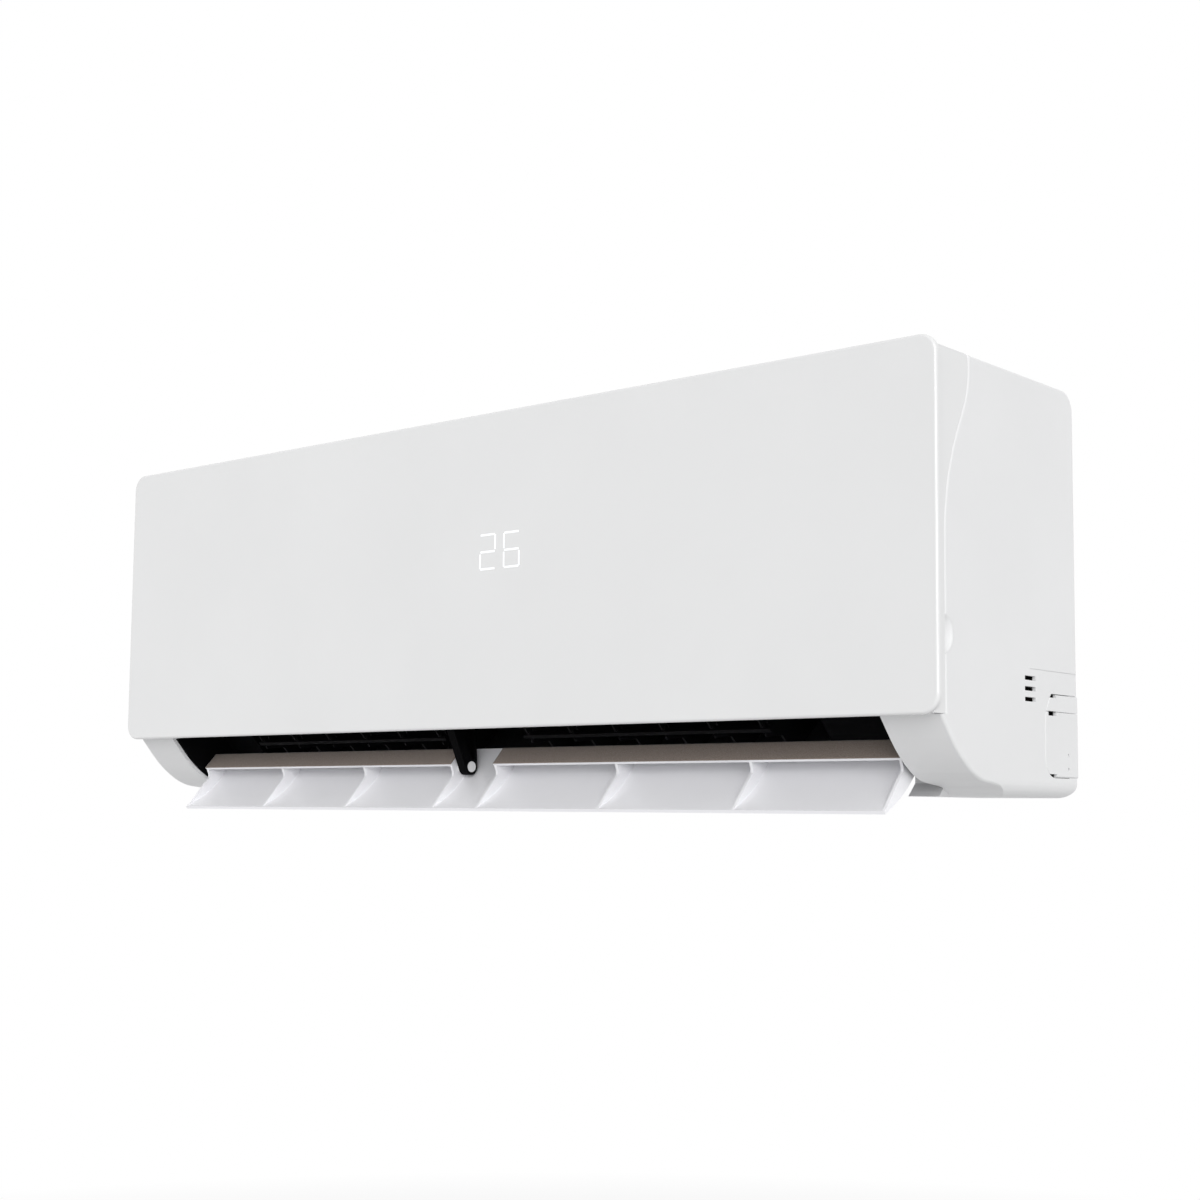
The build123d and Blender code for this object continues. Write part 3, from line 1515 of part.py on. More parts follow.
def tube_places(slab, row):
    """Return the tube centres of one row, from the slab's first end to its last."""
    along, across = slab_directions(slab)
    middle = (Vector(*slab[0]) + Vector(*slab[1])) * 0.5
    first = -(tubes_per_row - 1) / 2 * tube_pitch
    places = []
    for i in range(tubes_per_row):
        point = middle + along * (first + i * tube_pitch) + across * (row * row_offset)
        places.append((point.X, point.Y))
    return places


def tube_holes(x_low, x_high, slab):
    """Cut a slab's tube holes."""
    for row in (-1, 1):
        for place in tube_places(slab, row):
            rod(x_low, x_high, place, tube_radius + tube_gap, Mode.SUBTRACT)


coil_slabs = {
    "front_lower_fins": coil_front_lower,
    "front_upper_fins": coil_front_upper,
    "rear_fins": coil_rear,
}


def make_fins():
    """Fin packs of the heat exchanger, one for each slab, with the tube holes."""
    left, right = duct_left - scroll_sheet, duct_right + scroll_sheet
    for name, slab in coil_slabs.items():
        with BuildPart() as fins:
            side_prism(left, right, slab_corners(slab, 0.0))
            tube_holes(left, right, slab)
        fins.part.label = name
        export_step(fins.part, f"parts/{name}.step")


def make_coil_end_plates():
    """Sheet-metal end plates that tie the three slabs together and stand in the pan."""
    left, right = duct_left - scroll_sheet, duct_right + scroll_sheet
    pan_inside = pan_floor + duct_sheet
    with BuildPart() as coil_end_plates:
        for x_low in (left - end_plate_thickness, right):
            x_high = x_low + end_plate_thickness
            for slab in coil_slabs.values():
                side_prism(x_low, x_high, slab_corners(slab, end_plate_margin))
            lower, upper = slab_corners(coil_front_lower, 0.0), slab_corners(coil_front_upper, 0.0)
            rear = slab_corners(coil_rear, 0.0)
            side_prism(x_low, x_high, [lower[1], upper[0], upper[3], lower[2]])
            side_prism(x_low, x_high, [upper[1], rear[0], rear[3], upper[2]])
            foot_front, foot_back = lower[0][0], lower[3][0] - end_plate_foot_cut
            side_box(x_low, x_high, foot_front, foot_back, pan_inside, coil_front_lower[0][1])
            for slab in coil_slabs.values():
                tube_holes(x_low - 1, x_high + 1, slab)
    coil_end_plates.part.label = "coil_end_plates"
    export_step(coil_end_plates.part, "parts/coil_end_plates.step")


def bent_rod(points, bend, radius, bore=0.0):
    """Add a round bar, or a tube when it has a bore, along straight runs joined by arcs."""
    with BuildLine() as path:
        FilletPolyline(*points, radius=bend)
    with BuildSketch(Plane(path.line @ 0, z_dir=path.line % 0)) as section:
        Circle(radius)
        if bore > 0:
            Circle(bore, mode=Mode.SUBTRACT)
    sweep(section.sketch, path=path.line)


def tube_bend(x_end, reach, first, last, bend):
    """Add the bend that leads a tube out of one hole and back into another."""
    first_y, first_z = side(*first)
    last_y, last_z = side(*last)
    tip = x_end + reach
    corners = [
        (x_end, first_y, first_z),
        (tip, first_y, first_z),
        (tip, last_y, last_z),
        (x_end, last_y, last_z),
    ]
    bent_rod(corners, bend, tube_radius)


def make_coil_tubes():
    """Copper tubes through the fins, with the bends that join them at both ends."""
    left = duct_left - scroll_sheet - end_plate_thickness - tube_show
    right = duct_right + scroll_sheet + end_plate_thickness + tube_show
    with BuildPart() as coil_tubes:
        for row in (-1, 1):
            chain = []
            for slab in coil_slabs.values():
                chain += tube_places(slab, row)
            for place in chain:
                rod(left, right, place, tube_radius)
            for i in range(0, len(chain), 2):
                tube_bend(left, -bend_reach, chain[i], chain[i + 1], bend_radius)
            for i in range(1, len(chain) - 1, 2):
                between_slabs = (i + 1) % tubes_per_row == 0
                reach = bend_reach + crossover_step if between_slabs and row < 0 else bend_reach
                tube_bend(right, reach, chain[i], chain[i + 1], bend_radius)
        ends = [tube_places(coil_front_lower, row)[0] for row in (-1, 1)]
        tube_bend(right, bend_reach, ends[0], ends[1], row_offset - 0.5)
    coil_tubes.part.label = "coil_tubes"
    export_step(coil_tubes.part, "parts/coil_tubes.step")


# ---- refrigerant pipes ----
def gas_start():
    """Return depth and height of the rear slab's tube that feeds the gas pipe."""
    return tube_places(coil_rear, -1)[-1]


def liquid_start():
    """Return depth and height of the rear slab's tube that feeds the liquid pipe."""
    return tube_places(coil_rear, 1)[-1]


bay_front_depth = gas_start()[0] - bay_front_gap


def union_plane(turn_x, centre, dip, past_end):
    """Return the plane square to a pipe's dipping end, past_end beyond the end of the pipe."""
    y, z = side(*centre)
    slope = math.radians(dip)
    reach = pipe_tail + past_end
    origin = (turn_x - reach * math.cos(slope), y, z - reach * math.sin(slope))
    return Plane(origin, x_dir=(0, 1, 0), z_dir=(-math.cos(slope), 0, -math.sin(slope)))


def pipe_end(turn_x, centre, dip):
    """Return the last point of a pipe that turns down at turn_x."""
    end = union_plane(turn_x, centre, dip, 0).origin
    return (end.X, end.Y, end.Z)


def make_pipes():
    """Gas and liquid pipes: out of the coil, down beside the motor and along the bay."""
    start_x = duct_right + scroll_sheet + end_plate_thickness + tube_show
    gas_y, gas_z = side(*gas_start())
    low_z = side(0, gas_level)[1]
    gas_route = [
        (start_x, gas_y, gas_z),
        (gas_drop_x, gas_y, gas_z),
        (gas_drop_x, gas_y, low_z),
        (gas_turn_x, gas_y, low_z),
        pipe_end(gas_turn_x, (gas_start()[0], gas_level), gas_dip),
    ]
    with BuildPart() as gas_pipe:
        bent_rod(gas_route, gas_bend, gas_radius, gas_radius - pipe_wall)
    gas_pipe.part.label = "gas_pipe"
    export_step(gas_pipe.part, "parts/gas_pipe.step")

    first_y, first_z = side(*liquid_start())
    back_y, low_z = side(liquid_depth, liquid_level)
    turn_z = first_z - (back_y - first_y)
    liquid_route = [
        (start_x, first_y, first_z),
        (liquid_drop_x, first_y, first_z),
        (liquid_drop_x, back_y, turn_z),
        (liquid_drop_x, back_y, low_z),
        (liquid_turn_x, back_y, low_z),
        pipe_end(liquid_turn_x, (liquid_depth, liquid_level), liquid_dip),
    ]
    with BuildPart() as liquid_pipe:
        bent_rod(liquid_route, liquid_bend, liquid_radius, liquid_radius - pipe_wall)
    liquid_pipe.part.label = "liquid_pipe"
    export_step(liquid_pipe.part, "parts/liquid_pipe.step")


def union_rod(place, past_low, past_high, radius, mode=Mode.ADD):
    """Add or cut a round length of a union, between two distances past the pipe's end."""
    with BuildSketch(union_plane(*place, past_low)) as section:
        Circle(radius)
    extrude(section.sketch, amount=past_high - past_low, mode=mode)


def pipe_union(place, pipe_radius, thread_radius, across_flats):
    """Add one brass flare union: a collar on the pipe, a hexagon and the threaded end."""
    tip = union_body + union_thread
    union_rod(place, -union_collar, 0, pipe_radius + union_wall)
    with BuildSketch(union_plane(*place, 0)) as hexagon:
        RegularPolygon(across_flats / math.sqrt(3), 6)
    extrude(hexagon.sketch, amount=union_body)
    union_rod(place, union_body, tip, thread_radius)
    union_rod(place, -union_collar, tip, pipe_radius - pipe_wall, Mode.SUBTRACT)
    union_rod(place, -union_collar, 0, pipe_radius, Mode.SUBTRACT)


def make_pipe_unions():
    """Flare unions at the ends of both pipes, which the outdoor unit's pipes screw on to."""
    with BuildPart() as gas_union:
        place = (gas_turn_x, (gas_start()[0], gas_level), gas_dip)
        pipe_union(place, gas_radius, gas_thread_radius, gas_hex)
    gas_union.part.label = "gas_union"
    export_step(gas_union.part, "parts/gas_union.step")
    with BuildPart() as liquid_union:
        place = (liquid_turn_x, (liquid_depth, liquid_level), liquid_dip)
        pipe_union(place, liquid_radius, liquid_thread_radius, liquid_hex)
    liquid_union.part.label = "liquid_union"
    export_step(liquid_union.part, "parts/liquid_union.step")


def make_pipe_clamp():
    """Plastic saddle that holds both pipes to the pipe bay's front wall."""
    gas_depth = gas_start()[0]
    bay_front = bay_front_depth + wall
    low = liquid_level - liquid_radius - clamp_wall
    high = gas_level + gas_radius + clamp_wall
    back = liquid_depth + liquid_radius + clamp_wall
    with BuildPart() as pipe_clamp:
        side_box(clamp_x, clamp_x + clamp_width, bay_front, back, low, high)
        gas_hole, liquid_hole = gas_radius + 0.1, liquid_radius + 0.1
        right = clamp_x + clamp_width
        rod(clamp_x, right, (gas_depth, gas_level), gas_hole, Mode.SUBTRACT)
        rod(clamp_x, right, (liquid_depth, liquid_level), liquid_hole, Mode.SUBTRACT)
    pipe_clamp.part.label = "pipe_clamp"
    export_step(pipe_clamp.part, "parts/pipe_clamp.step")


# ---- electrics and button ----
def make_electrical_box():
    """Tray for the electrics beside the coil, its cover, board and terminal block."""
    tray_front = box_front + box_wall
    with BuildPart() as electrical_box:
        side_box(box_left, box_right, tray_front, box_back, box_low, box_high)
        inside = (box_left + box_wall, box_right - box_wall)
        low, high = box_low + box_wall, box_high - box_wall
        side_box(*inside, tray_front, box_back - box_wall, low, high, Mode.SUBTRACT)
        for x in (inside[0] + board_edge, inside[1] - board_edge):
            for height in (low + board_edge, high - board_edge):
                post_front = box_back - box_wall - board_standoff
                depth_rod(x, height, post_front, box_back - box_wall + 1, post_radius)
    electrical_box.part.label = "electrical_box"
    export_step(electrical_box.part, "parts/electrical_box.step")

    with BuildPart() as electrical_cover:
        side_box(box_left, box_right, box_front, tray_front, box_low, box_high)
        side_box(
            cover_window[0],
            cover_window[1],
            box_front,
            tray_front,
            cover_window[2],
            cover_window[3],
            Mode.SUBTRACT,
        )
    electrical_cover.part.label = "electrical_cover"
    export_step(electrical_cover.part, "parts/electrical_cover.step")

    board_back = box_back - box_wall - board_standoff
    board_front = board_back - board_thickness
    with BuildPart() as control_board:
        edge = box_wall + board_gap
        left, right = box_left + edge, box_right - edge
        side_box(left, right, board_front, board_back, box_low + edge, box_high - edge)
        for offset_x, height, width, tall, deep in board_blocks:
            x = box_left + offset_x
            front = board_front - deep
            side_box(x, x + width, front, board_front, height, height + tall)
    control_board.part.label = "control_board"
    export_step(control_board.part, "parts/control_board.step")

    with BuildPart() as terminal_block:
        low = cover_window[2] + 1
        high = cover_window[3] - 1
        left, right = cover_window[0] + 1, cover_window[1] - 1
        side_box(left, right, box_front, board_front, low, high)
        pitch = (right - left) / terminal_count
        for i in range(terminal_count):
            x = left + (i + 0.5) * pitch
            depth_rod(x, (low + high) / 2, box_front - 1, box_front + 3, terminal_radius, Mode.SUBTRACT)
    terminal_block.part.label = "terminal_block"
    export_step(terminal_block.part, "parts/terminal_block.step")

    with BuildPart() as cable_clamp:
        low = box_low - cable_clamp_height
        x_low, x_high = cable_clamp_x, cable_clamp_x + cable_clamp_width
        side_box(x_low, x_high, tray_front, tray_front + cable_clamp_depth, low, box_low)
        middle = (tray_front + cable_clamp_depth / 2, box_low - cable_clamp_height / 2)
        rod(x_low, x_high, middle, cable_radius, Mode.SUBTRACT)
    cable_clamp.part.label = "cable_clamp"
    export_step(cable_clamp.part, "parts/cable_clamp.step")


def make_button():
    """Push button behind the panel for running without the remote, and its switch."""
    x, height = button_place
    ring_back = surround_depth + surround_thickness
    collar = ring_back + face_gap
    with BuildPart() as manual_button:
        depth_rod(x, height, surround_depth - button_proud, collar, button_radius)
        depth_rod(x, height, collar, collar + button_collar, button_radius + 1.5)
    manual_button.part.label = "manual_button"
    export_step(manual_button.part, "parts/manual_button.step")
    with BuildPart() as button_switch:
        plunger = collar + button_collar + button_travel + 0.3
        depth_rod(x, height, plunger, box_front, button_radius - 1)
    button_switch.part.label = "button_switch"
    export_step(button_switch.part, "parts/button_switch.step")


# ---- filters and screws ----
def make_filters():
    """Washable filter frames with their cross bars, one in each bay."""
    back = surround_depth + surround_thickness
    front = back - filter_thickness
    low, high = bay_low + filter_play, filter_bay_top - filter_play
    for name, x_low, x_high in (
        ("left_air_filter", -bay_outer + filter_play, -bay_inner - filter_play),
        ("right_air_filter", bay_inner + filter_play, bay_outer - filter_play),
    ):
        y, z = side(back, (low + high) / 2)
        plane = Plane(((x_low + x_high) / 2, y, z), x_dir=(1, 0, 0), z_dir=(0, -1, 0))
        with BuildPart() as air_filter:
            with BuildSketch(plane):
                Rectangle(x_high - x_low, high - low)
                width = (x_high - x_low - filter_bar) / filter_columns
                tall = (high - low - filter_bar) / filter_rows
                with GridLocations(width, tall, filter_columns, filter_rows):
                    Rectangle(width - filter_bar, tall - filter_bar, mode=Mode.SUBTRACT)
            extrude(amount=back - front)
        air_filter.part.label = name
        export_step(air_filter.part, f"parts/{name}.step")


def make_case_screws():
    """Screws that hold the front frame to the bosses on the duct's roof."""
    head_front = surround_depth - screw_head_height
    end = surround_depth + screw_length
    with BuildPart() as case_screws:
        for x in screw_places:
            depth_rod(x, case_screw_height, head_front, surround_depth, screw_head_radius)
            depth_rod(x, case_screw_height, surround_depth, end, screw_radius)
    case_screws.part.label = "case_screws"
    export_step(case_screws.part, "parts/case_screws.step")


make_wall_plate()
make_rear_chassis()
make_front_frame()
make_inlet_grille()
make_knockouts()
make_front_panel()
make_display()
make_outlet_flap()
make_flap_blades()
make_flap_supports()
make_outlet_duct()
make_drain_pan()
make_vanes()
make_link_bars()
make_vane_steppers()
make_fan()
make_fan_bearing()
make_fan_motor()
make_fins()
make_coil_end_plates()
make_coil_tubes()
make_pipes()
make_pipe_unions()
make_pipe_clamp()
make_electrical_box()
make_button()
make_filters()
make_case_screws()
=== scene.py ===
"""Looks of the wall-hung air conditioner indoor unit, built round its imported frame.

Lengths are in metres. X runs to the viewer's right, Y towards the wall and Z up.
"""

import json
import math
import random

import bmesh
import bpy
from mathutils import Matrix, Vector, noise
from mathutils.geometry import convex_hull_2d


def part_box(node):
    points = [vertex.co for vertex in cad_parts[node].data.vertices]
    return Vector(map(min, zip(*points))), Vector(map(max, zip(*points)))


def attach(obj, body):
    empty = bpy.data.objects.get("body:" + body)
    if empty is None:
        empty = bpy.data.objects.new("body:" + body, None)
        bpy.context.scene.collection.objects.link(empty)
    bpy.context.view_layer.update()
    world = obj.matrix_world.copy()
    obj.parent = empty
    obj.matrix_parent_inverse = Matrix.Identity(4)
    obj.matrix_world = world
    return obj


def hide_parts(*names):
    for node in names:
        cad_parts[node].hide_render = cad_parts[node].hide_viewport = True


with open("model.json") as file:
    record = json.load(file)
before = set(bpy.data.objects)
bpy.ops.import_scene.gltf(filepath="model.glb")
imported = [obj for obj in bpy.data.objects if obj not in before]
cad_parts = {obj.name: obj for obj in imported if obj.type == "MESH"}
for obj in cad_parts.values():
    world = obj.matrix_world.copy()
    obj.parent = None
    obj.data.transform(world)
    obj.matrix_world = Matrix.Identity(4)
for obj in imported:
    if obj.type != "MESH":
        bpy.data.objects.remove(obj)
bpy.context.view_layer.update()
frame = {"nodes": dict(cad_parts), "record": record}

MM = 0.001
MICRON = 0.001 * MM
SEED = 26

# The photograph's camera.
CAMERA_PLACE = (1.0239, -1.2128, -0.1582)
CAMERA_YAW = 40.6262
CAMERA_PITCH = 5.5074
CAMERA_ROLL = 0.5151
SENSOR_WIDTH = 36.0
IMAGE_WIDTH = 1200.0
FOCAL_PIXELS = 1871.09
IMAGE_CENTRE = (606.47, 632.77)

# Studio. The floor turns from its colour to white between two distances from its middle.
FLOOR_HEIGHT = -1.2
FLOOR_HALF = 60.0
FLOOR_CELLS = 8
FADE_START = 1.6
FADE_END = 4.0
FLOOR_COLOUR = (0.8, 0.8, 0.805)
FILL_STRENGTH = 0.53
KEY_STRENGTH = 2.15
KEY_SPREAD = 50.0
KEY_AZIMUTH = 44.0
KEY_ELEVATION = 20.0

# Fins of the heat exchanger.
FIN_PITCH = 1.7 * MM
FIN_SHEET = 0.14 * MM
FIN_LEAN = 0.25 * MM

# Net across the air filters.
NET_PITCH = 2.0 * MM
NET_STRAND = 0.3 * MM
NET_MARGIN = 1.0 * MM

# Felt strips on the flap. The gap for the arm is a little to the left of their middle.
FELT_NAP = 0.16 * MM
FELT_STEP = 1.0 * MM
FELT_EDGE = 0.5 * MM
FELT_SHEET = 0.3 * MM
FELT_TUFTS_PER_METRE = 900.0
FELT_LEAST_ROWS = 4
FELT_PARTING = 30 * MM

# Ribs on the chassis back, which end just short of the wall.
RIB_WIDTH = 1.2 * MM
RIB_MARGIN = 4 * MM
RIB_PITCH = 24 * MM
RIB_WALL_GAP = 0.1 * MM
RIB_SEAT = 0.2 * MM

# Heads of the case screws. The crown and the cross are shares of a head's radius.
SCREW_CROWN = 0.3
CROSS_ARM = 0.16
CROSS_REACH = 0.62
CROSS_SINK = 0.4
SCREW_RINGS = 22
SCREW_TURNS = 64

# Finger scoops at the seam. Pairs are depth and height, and the centre is measured from the foot
# of the panel's face.
SCOOP_CENTRE = (17 * MM, 52 * MM)
SCOOP_REACH = (11 * MM, 12.5 * MM)
SCOOP_DEPTH = 4.2 * MM
SCOOP_SHEET = 0.5 * MM
SCOOP_ROUNDNESS = 0.75
SCOOP_RINGS = 10
SCOOP_TURNS = 24

MERGE_DISTANCE = MICRON

# Sockets of the colour mix node: its two colours and its result.
MIX_FIRST, MIX_SECOND, MIX_RESULT = 6, 7, 2

nodes = frame["nodes"]


# ---- materials ----
class Finish:
    """A procedural material: a Principled shader and the textures that feed it."""

    def __init__(self, name, **constants):
        self.material = bpy.data.materials.new(name)
        self.material.use_nodes = True
        self.tree = self.material.node_tree
        self.shader = self.tree.nodes["Principled BSDF"]
        for socket, value in constants.items():
            self.shader.inputs[socket.replace("_", " ")].default_value = value
        self.place = self.add("ShaderNodeTexCoord").outputs["Object"]

    def add(self, kind, settings=None, **inputs):
        """Add a node, set its properties, and link or set its inputs."""
        node = self.tree.nodes.new(kind)
        for name, value in (settings or {}).items():
            setattr(node, name, value)
        for name, value in inputs.items():
            socket = node.inputs[name.replace("_", " ")]
            if isinstance(value, bpy.types.NodeSocket):
                self.tree.links.new(value, socket)
            else:
                socket.default_value = value
        return node

    def stretched(self, scale):
        """Return the object's own coordinates multiplied by three factors."""
        node = self.add("ShaderNodeVectorMath", {"operation": "MULTIPLY"})
        self.tree.links.new(self.place, node.inputs[0])
        node.inputs[1].default_value = scale
        return node.outputs[0]

    def noise(self, per_metre, detail=2.0, stretch=(1.0, 1.0, 1.0)):
        """Return soft noise with that many blotches a metre, stretched along the axes."""
        vector = self.stretched([per_metre * factor for factor in stretch])
        node = self.add("ShaderNodeTexNoise", Vector=vector, Scale=1.0, Detail=detail)
        return node.outputs["Fac"]

    def cells(self, per_metre):
        """Return a random value for each cell of a pattern with that many cells a metre."""
        vector = self.stretched([per_metre] * 3)
        node = self.add("ShaderNodeTexVoronoi", Vector=vector, Scale=1.0)
        grey = self.add("ShaderNodeSeparateColor", Color=node.outputs["Color"])
        return grey.outputs[0]

    def spread(self, factor, low, high, source=(0.3, 0.7)):
        """Map a texture's middle range on to low..high."""
        node = self.add("ShaderNodeMapRange", Value=factor)
        for name, value in zip(("From Min", "From Max", "To Min", "To Max"), (*source, low, high)):
            node.inputs[name].default_value = value
        return node.outputs[0]

    def paint(self, factor, first, second):
        """Colour the surface between two colours."""
        mix = self.add("ShaderNodeMix", {"data_type": "RGBA"})
        self.tree.links.new(self.spread(factor, 0.0, 1.0), mix.inputs["Factor"])
        mix.inputs[MIX_FIRST].default_value = (*first, 1.0)
        mix.inputs[MIX_SECOND].default_value = (*second, 1.0)
        self.tree.links.new(mix.outputs[MIX_RESULT], self.shader.inputs["Base Color"])

    def polish(self, factor, low, high):
        """Vary the roughness between low and high."""
        self.tree.links.new(self.spread(factor, low, high), self.shader.inputs["Roughness"])

    def emboss(self, factor, depth):
        """Raise the surface by up to depth."""
        bump = self.add("ShaderNodeBump", Height=factor, Distance=depth, Strength=1.0)
        self.tree.links.new(bump.outputs[0], self.shader.inputs["Normal"])


def shade(colour, share):
    """Return a colour made darker or lighter by a share."""
    return tuple(channel * share for channel in colour)


def plastic(name, colour, rough, depth, grain=1400.0, contrast=0.04, **constants):
    """Moulded plastic: broad tone changes, and a fine grain in its gloss and surface."""
    finish = Finish(name, **constants)
    tones = finish.noise(per_metre=9.0, detail=3.0)
    finish.paint(tones, shade(colour, 1 - contrast), shade(colour, 1 + contrast / 2))
    fine = finish.noise(per_metre=grain)
    finish.polish(fine, *rough)
    finish.emboss(fine, depth)
    return finish.material


def brushed(name, colour, rough, stretch, contrast=0.1):
    """Drawn or brushed metal with streaks along its length."""
    finish = Finish(name, Metallic=1.0)
    streaks = finish.noise(per_metre=900.0, detail=4.0, stretch=stretch)
    tones = finish.noise(per_metre=40.0, detail=4.0)
    finish.paint(tones, shade(colour, 1 - contrast), colour)
    finish.polish(streaks, *rough)
    finish.emboss(streaks, depth=40 * MICRON)
    return finish.material


def galvanised(name, colour):
    """Zinc-coated sheet with its crystals."""
    finish = Finish(name, Metallic=1.0)
    crystals = finish.cells(per_metre=160.0)
    finish.paint(crystals, shade(colour, 0.82), colour)
    finish.polish(crystals, low=0.32, high=0.5)
    finish.emboss(finish.noise(per_metre=500.0), depth=20 * MICRON)
    return finish.material


def felt(name, dark, light):
    """Flocked strip: short fibres of several tones."""
    finish = Finish(name, Roughness=0.95, Sheen_Weight=0.25, Sheen_Roughness=0.6)
    fibres = finish.noise(per_metre=2600.0, detail=4.0, stretch=(0.5, 1.0, 1.0))
    finish.paint(fibres, dark, light)
    finish.emboss(fibres, depth=250 * MICRON)
    return finish.material


def lit(name, colour):
    """Light shining through the digit's mask, a little uneven across it."""
    finish = Finish(name, Roughness=0.3, Emission_Strength=0.36)
    uneven = finish.noise(per_metre=500.0, detail=1.0)
    finish.paint(uneven, shade(colour, 0.7), shade(colour, 0.78))
    finish.shader.inputs["Emission Color"].default_value = (*colour, 1.0)
    return finish.material


def board(name, mask, track):
    """Printed board: solder mask over darker tracks."""
    finish = Finish(name, Roughness=0.35, Coat_Weight=0.4)
    tracks = finish.noise(per_metre=260.0, detail=0.0, stretch=(1.0, 1.0, 0.25))
    finish.paint(tracks, mask, track)
    finish.emboss(finish.noise(per_metre=900.0), depth=30 * MICRON)
    return finish.material


materials = {
    "panel_plastic": plastic(
        "panel_gloss", (0.752, 0.755, 0.757), rough=(0.14, 0.2), depth=2 * MICRON, grain=300.0,
        contrast=0.015, Coat_Weight=0.5,
    ),
    "case_plastic": plastic(
        "case_satin", (0.775, 0.778, 0.782), rough=(0.36, 0.46), depth=12 * MICRON, grain=1600.0,
        contrast=0.02,
    ),
    "flap_plastic": plastic(
        "flap_satin", (0.93, 0.93, 0.955), rough=(0.28, 0.36), depth=6 * MICRON, grain=1200.0,
        contrast=0.03,
    ),
    "felt": felt("taupe_felt", dark=(0.165, 0.126, 0.102), light=(0.325, 0.262, 0.222)),
    "white_detail": plastic("white_moulding", (0.9, 0.9, 0.9), rough=(0.38, 0.48), depth=10 * MICRON),
    # Darker and less reflective than real black plastic: painted shade of the deep interior, on every
    # part in this slot.
    "black_plastic": plastic(
        "shade_darkened_black", (0.003, 0.003, 0.0035), rough=(0.55, 0.7), depth=30 * MICRON, grain=1500.0,
        contrast=0.3, Specular_IOR_Level=0.03,
    ),
    "vane_plastic": plastic(
        "vane_black", (0.006, 0.006, 0.007), rough=(0.45, 0.55), depth=20 * MICRON, grain=1500.0,
        contrast=0.3, Specular_IOR_Level=0.12,
    ),
    "fan_plastic": plastic(
        "fan_grey", (0.03, 0.031, 0.033), rough=(0.45, 0.6), depth=30 * MICRON, grain=1500.0,
        contrast=0.3,
    ),
    "zinc_sheet": galvanised("zinc_sheet", (0.6, 0.61, 0.62)),
    "bright_steel": brushed(
        "bright_steel", (0.68, 0.68, 0.69), rough=(0.2, 0.34), stretch=(0.04, 1.0, 1.0)
    ),
    "fin_aluminium": brushed(
        "fin_aluminium", (0.62, 0.71, 0.78), rough=(0.3, 0.45), stretch=(1.0, 1.0, 0.05)
    ),
    "copper_tube": brushed(
        "copper_tube", (0.72, 0.36, 0.22), rough=(0.22, 0.4), stretch=(0.05, 1.0, 1.0), contrast=0.35
    ),
    "brass_fitting": brushed(
        "brass_fitting", (0.72, 0.55, 0.26), rough=(0.18, 0.3), stretch=(1.0, 0.1, 0.1)
    ),
    "motor_shell": plastic(
        "motor_white", (0.66, 0.66, 0.65), rough=(0.4, 0.55), depth=40 * MICRON, grain=900.0
    ),
    "rubber_seat": plastic(
        "rubber_black", (0.02, 0.02, 0.02), rough=(0.7, 0.85), depth=40 * MICRON, grain=900.0,
        contrast=0.3,
    ),
    "digit_light": lit("digit_light", (0.97, 0.985, 1.0)),
    "circuit_board": board("circuit_board", mask=(0.025, 0.14, 0.06), track=(0.012, 0.075, 0.035)),
    "terminal_plastic": plastic(
        "terminal_cream", (0.68, 0.64, 0.5), rough=(0.45, 0.6), depth=20 * MICRON
    ),
    "filter_plastic": plastic(
        "filter_grey", (0.045, 0.05, 0.06), rough=(0.5, 0.65), depth=20 * MICRON, grain=1500.0,
        contrast=0.2,
    ),
    "bearing_bronze": brushed(
        "bearing_bronze", (0.5, 0.33, 0.16), rough=(0.4, 0.6), stretch=(1.0, 1.0, 1.0)
    ),
}
chassis_black = plastic(
    "chassis_black", (0.022, 0.022, 0.023), rough=(0.42, 0.58), depth=30 * MICRON, grain=1500.0,
    contrast=0.2,
)


def dress_frame():
    """Give every CAD node the material of its slot; the chassis gets a real plastic black, lighter than
    the duct's black, which is darkened with painted shade.
    """
    for row in frame["record"]["subparts"]:
        mesh = nodes[row["node"]].data
        mesh.materials.clear()
        lighter = row["node"] == "rear_chassis"
        mesh.materials.append(chassis_black if lighter else materials[row["material_slot"]])


# ---- pieces made here ----
def new_piece(name, builder, slot, body="root", stands_for=(), finish=None):
    """Turn a bmesh into a piece that rides on a body and takes its slot's finish or its own."""
    mesh = bpy.data.meshes.new(name)
    bmesh.ops.recalc_face_normals(builder, faces=builder.faces)
    builder.to_mesh(mesh)
    builder.free()
    piece = bpy.data.objects.new(name, mesh)
    bpy.context.scene.collection.objects.link(piece)
    mesh.materials.append(finish or materials[slot])
    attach(piece, body)
    if stands_for:
        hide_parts(*stands_for)
    return piece


def smooth(piece):
    """Shade a piece's faces smoothly."""
    for polygon in piece.data.polygons:
        polygon.use_smooth = True


def thicken(piece, thickness, offset):
    """Give a sheet its thickness, to both sides at offset 0 and inwards at -1."""
    modifier = piece.modifiers.new("thickness", "SOLIDIFY")
    modifier.thickness = thickness
    modifier.offset = offset


def add_prism(builder, outline, shift):
    """Add the closed prism swept from a flat outline by shift."""
    near = [builder.verts.new(point) for point in outline]
    far = [builder.verts.new(Vector(point) + shift) for point in outline]
    builder.faces.new(near[::-1])
    builder.faces.new(far)
    for i in range(len(outline)):
        j = (i + 1) % len(outline)
        builder.faces.new((near[i], near[j], far[j], far[i]))


def add_box(builder, low, high):
    """Add the box between two corners."""
    corners = ((low[0], low[2]), (high[0], low[2]), (high[0], high[2]), (low[0], high[2]))
    add_prism(builder, [(x, low[1], z) for x, z in corners], Vector((0, high[1] - low[1], 0)))


def add_grid(builder, grid):
    """Add the faces between the neighbouring points of a grid."""
    for near, far in zip(grid, grid[1:]):
        for j in range(len(near) - 1):
            builder.faces.new((near[j], far[j], far[j + 1], near[j + 1]))


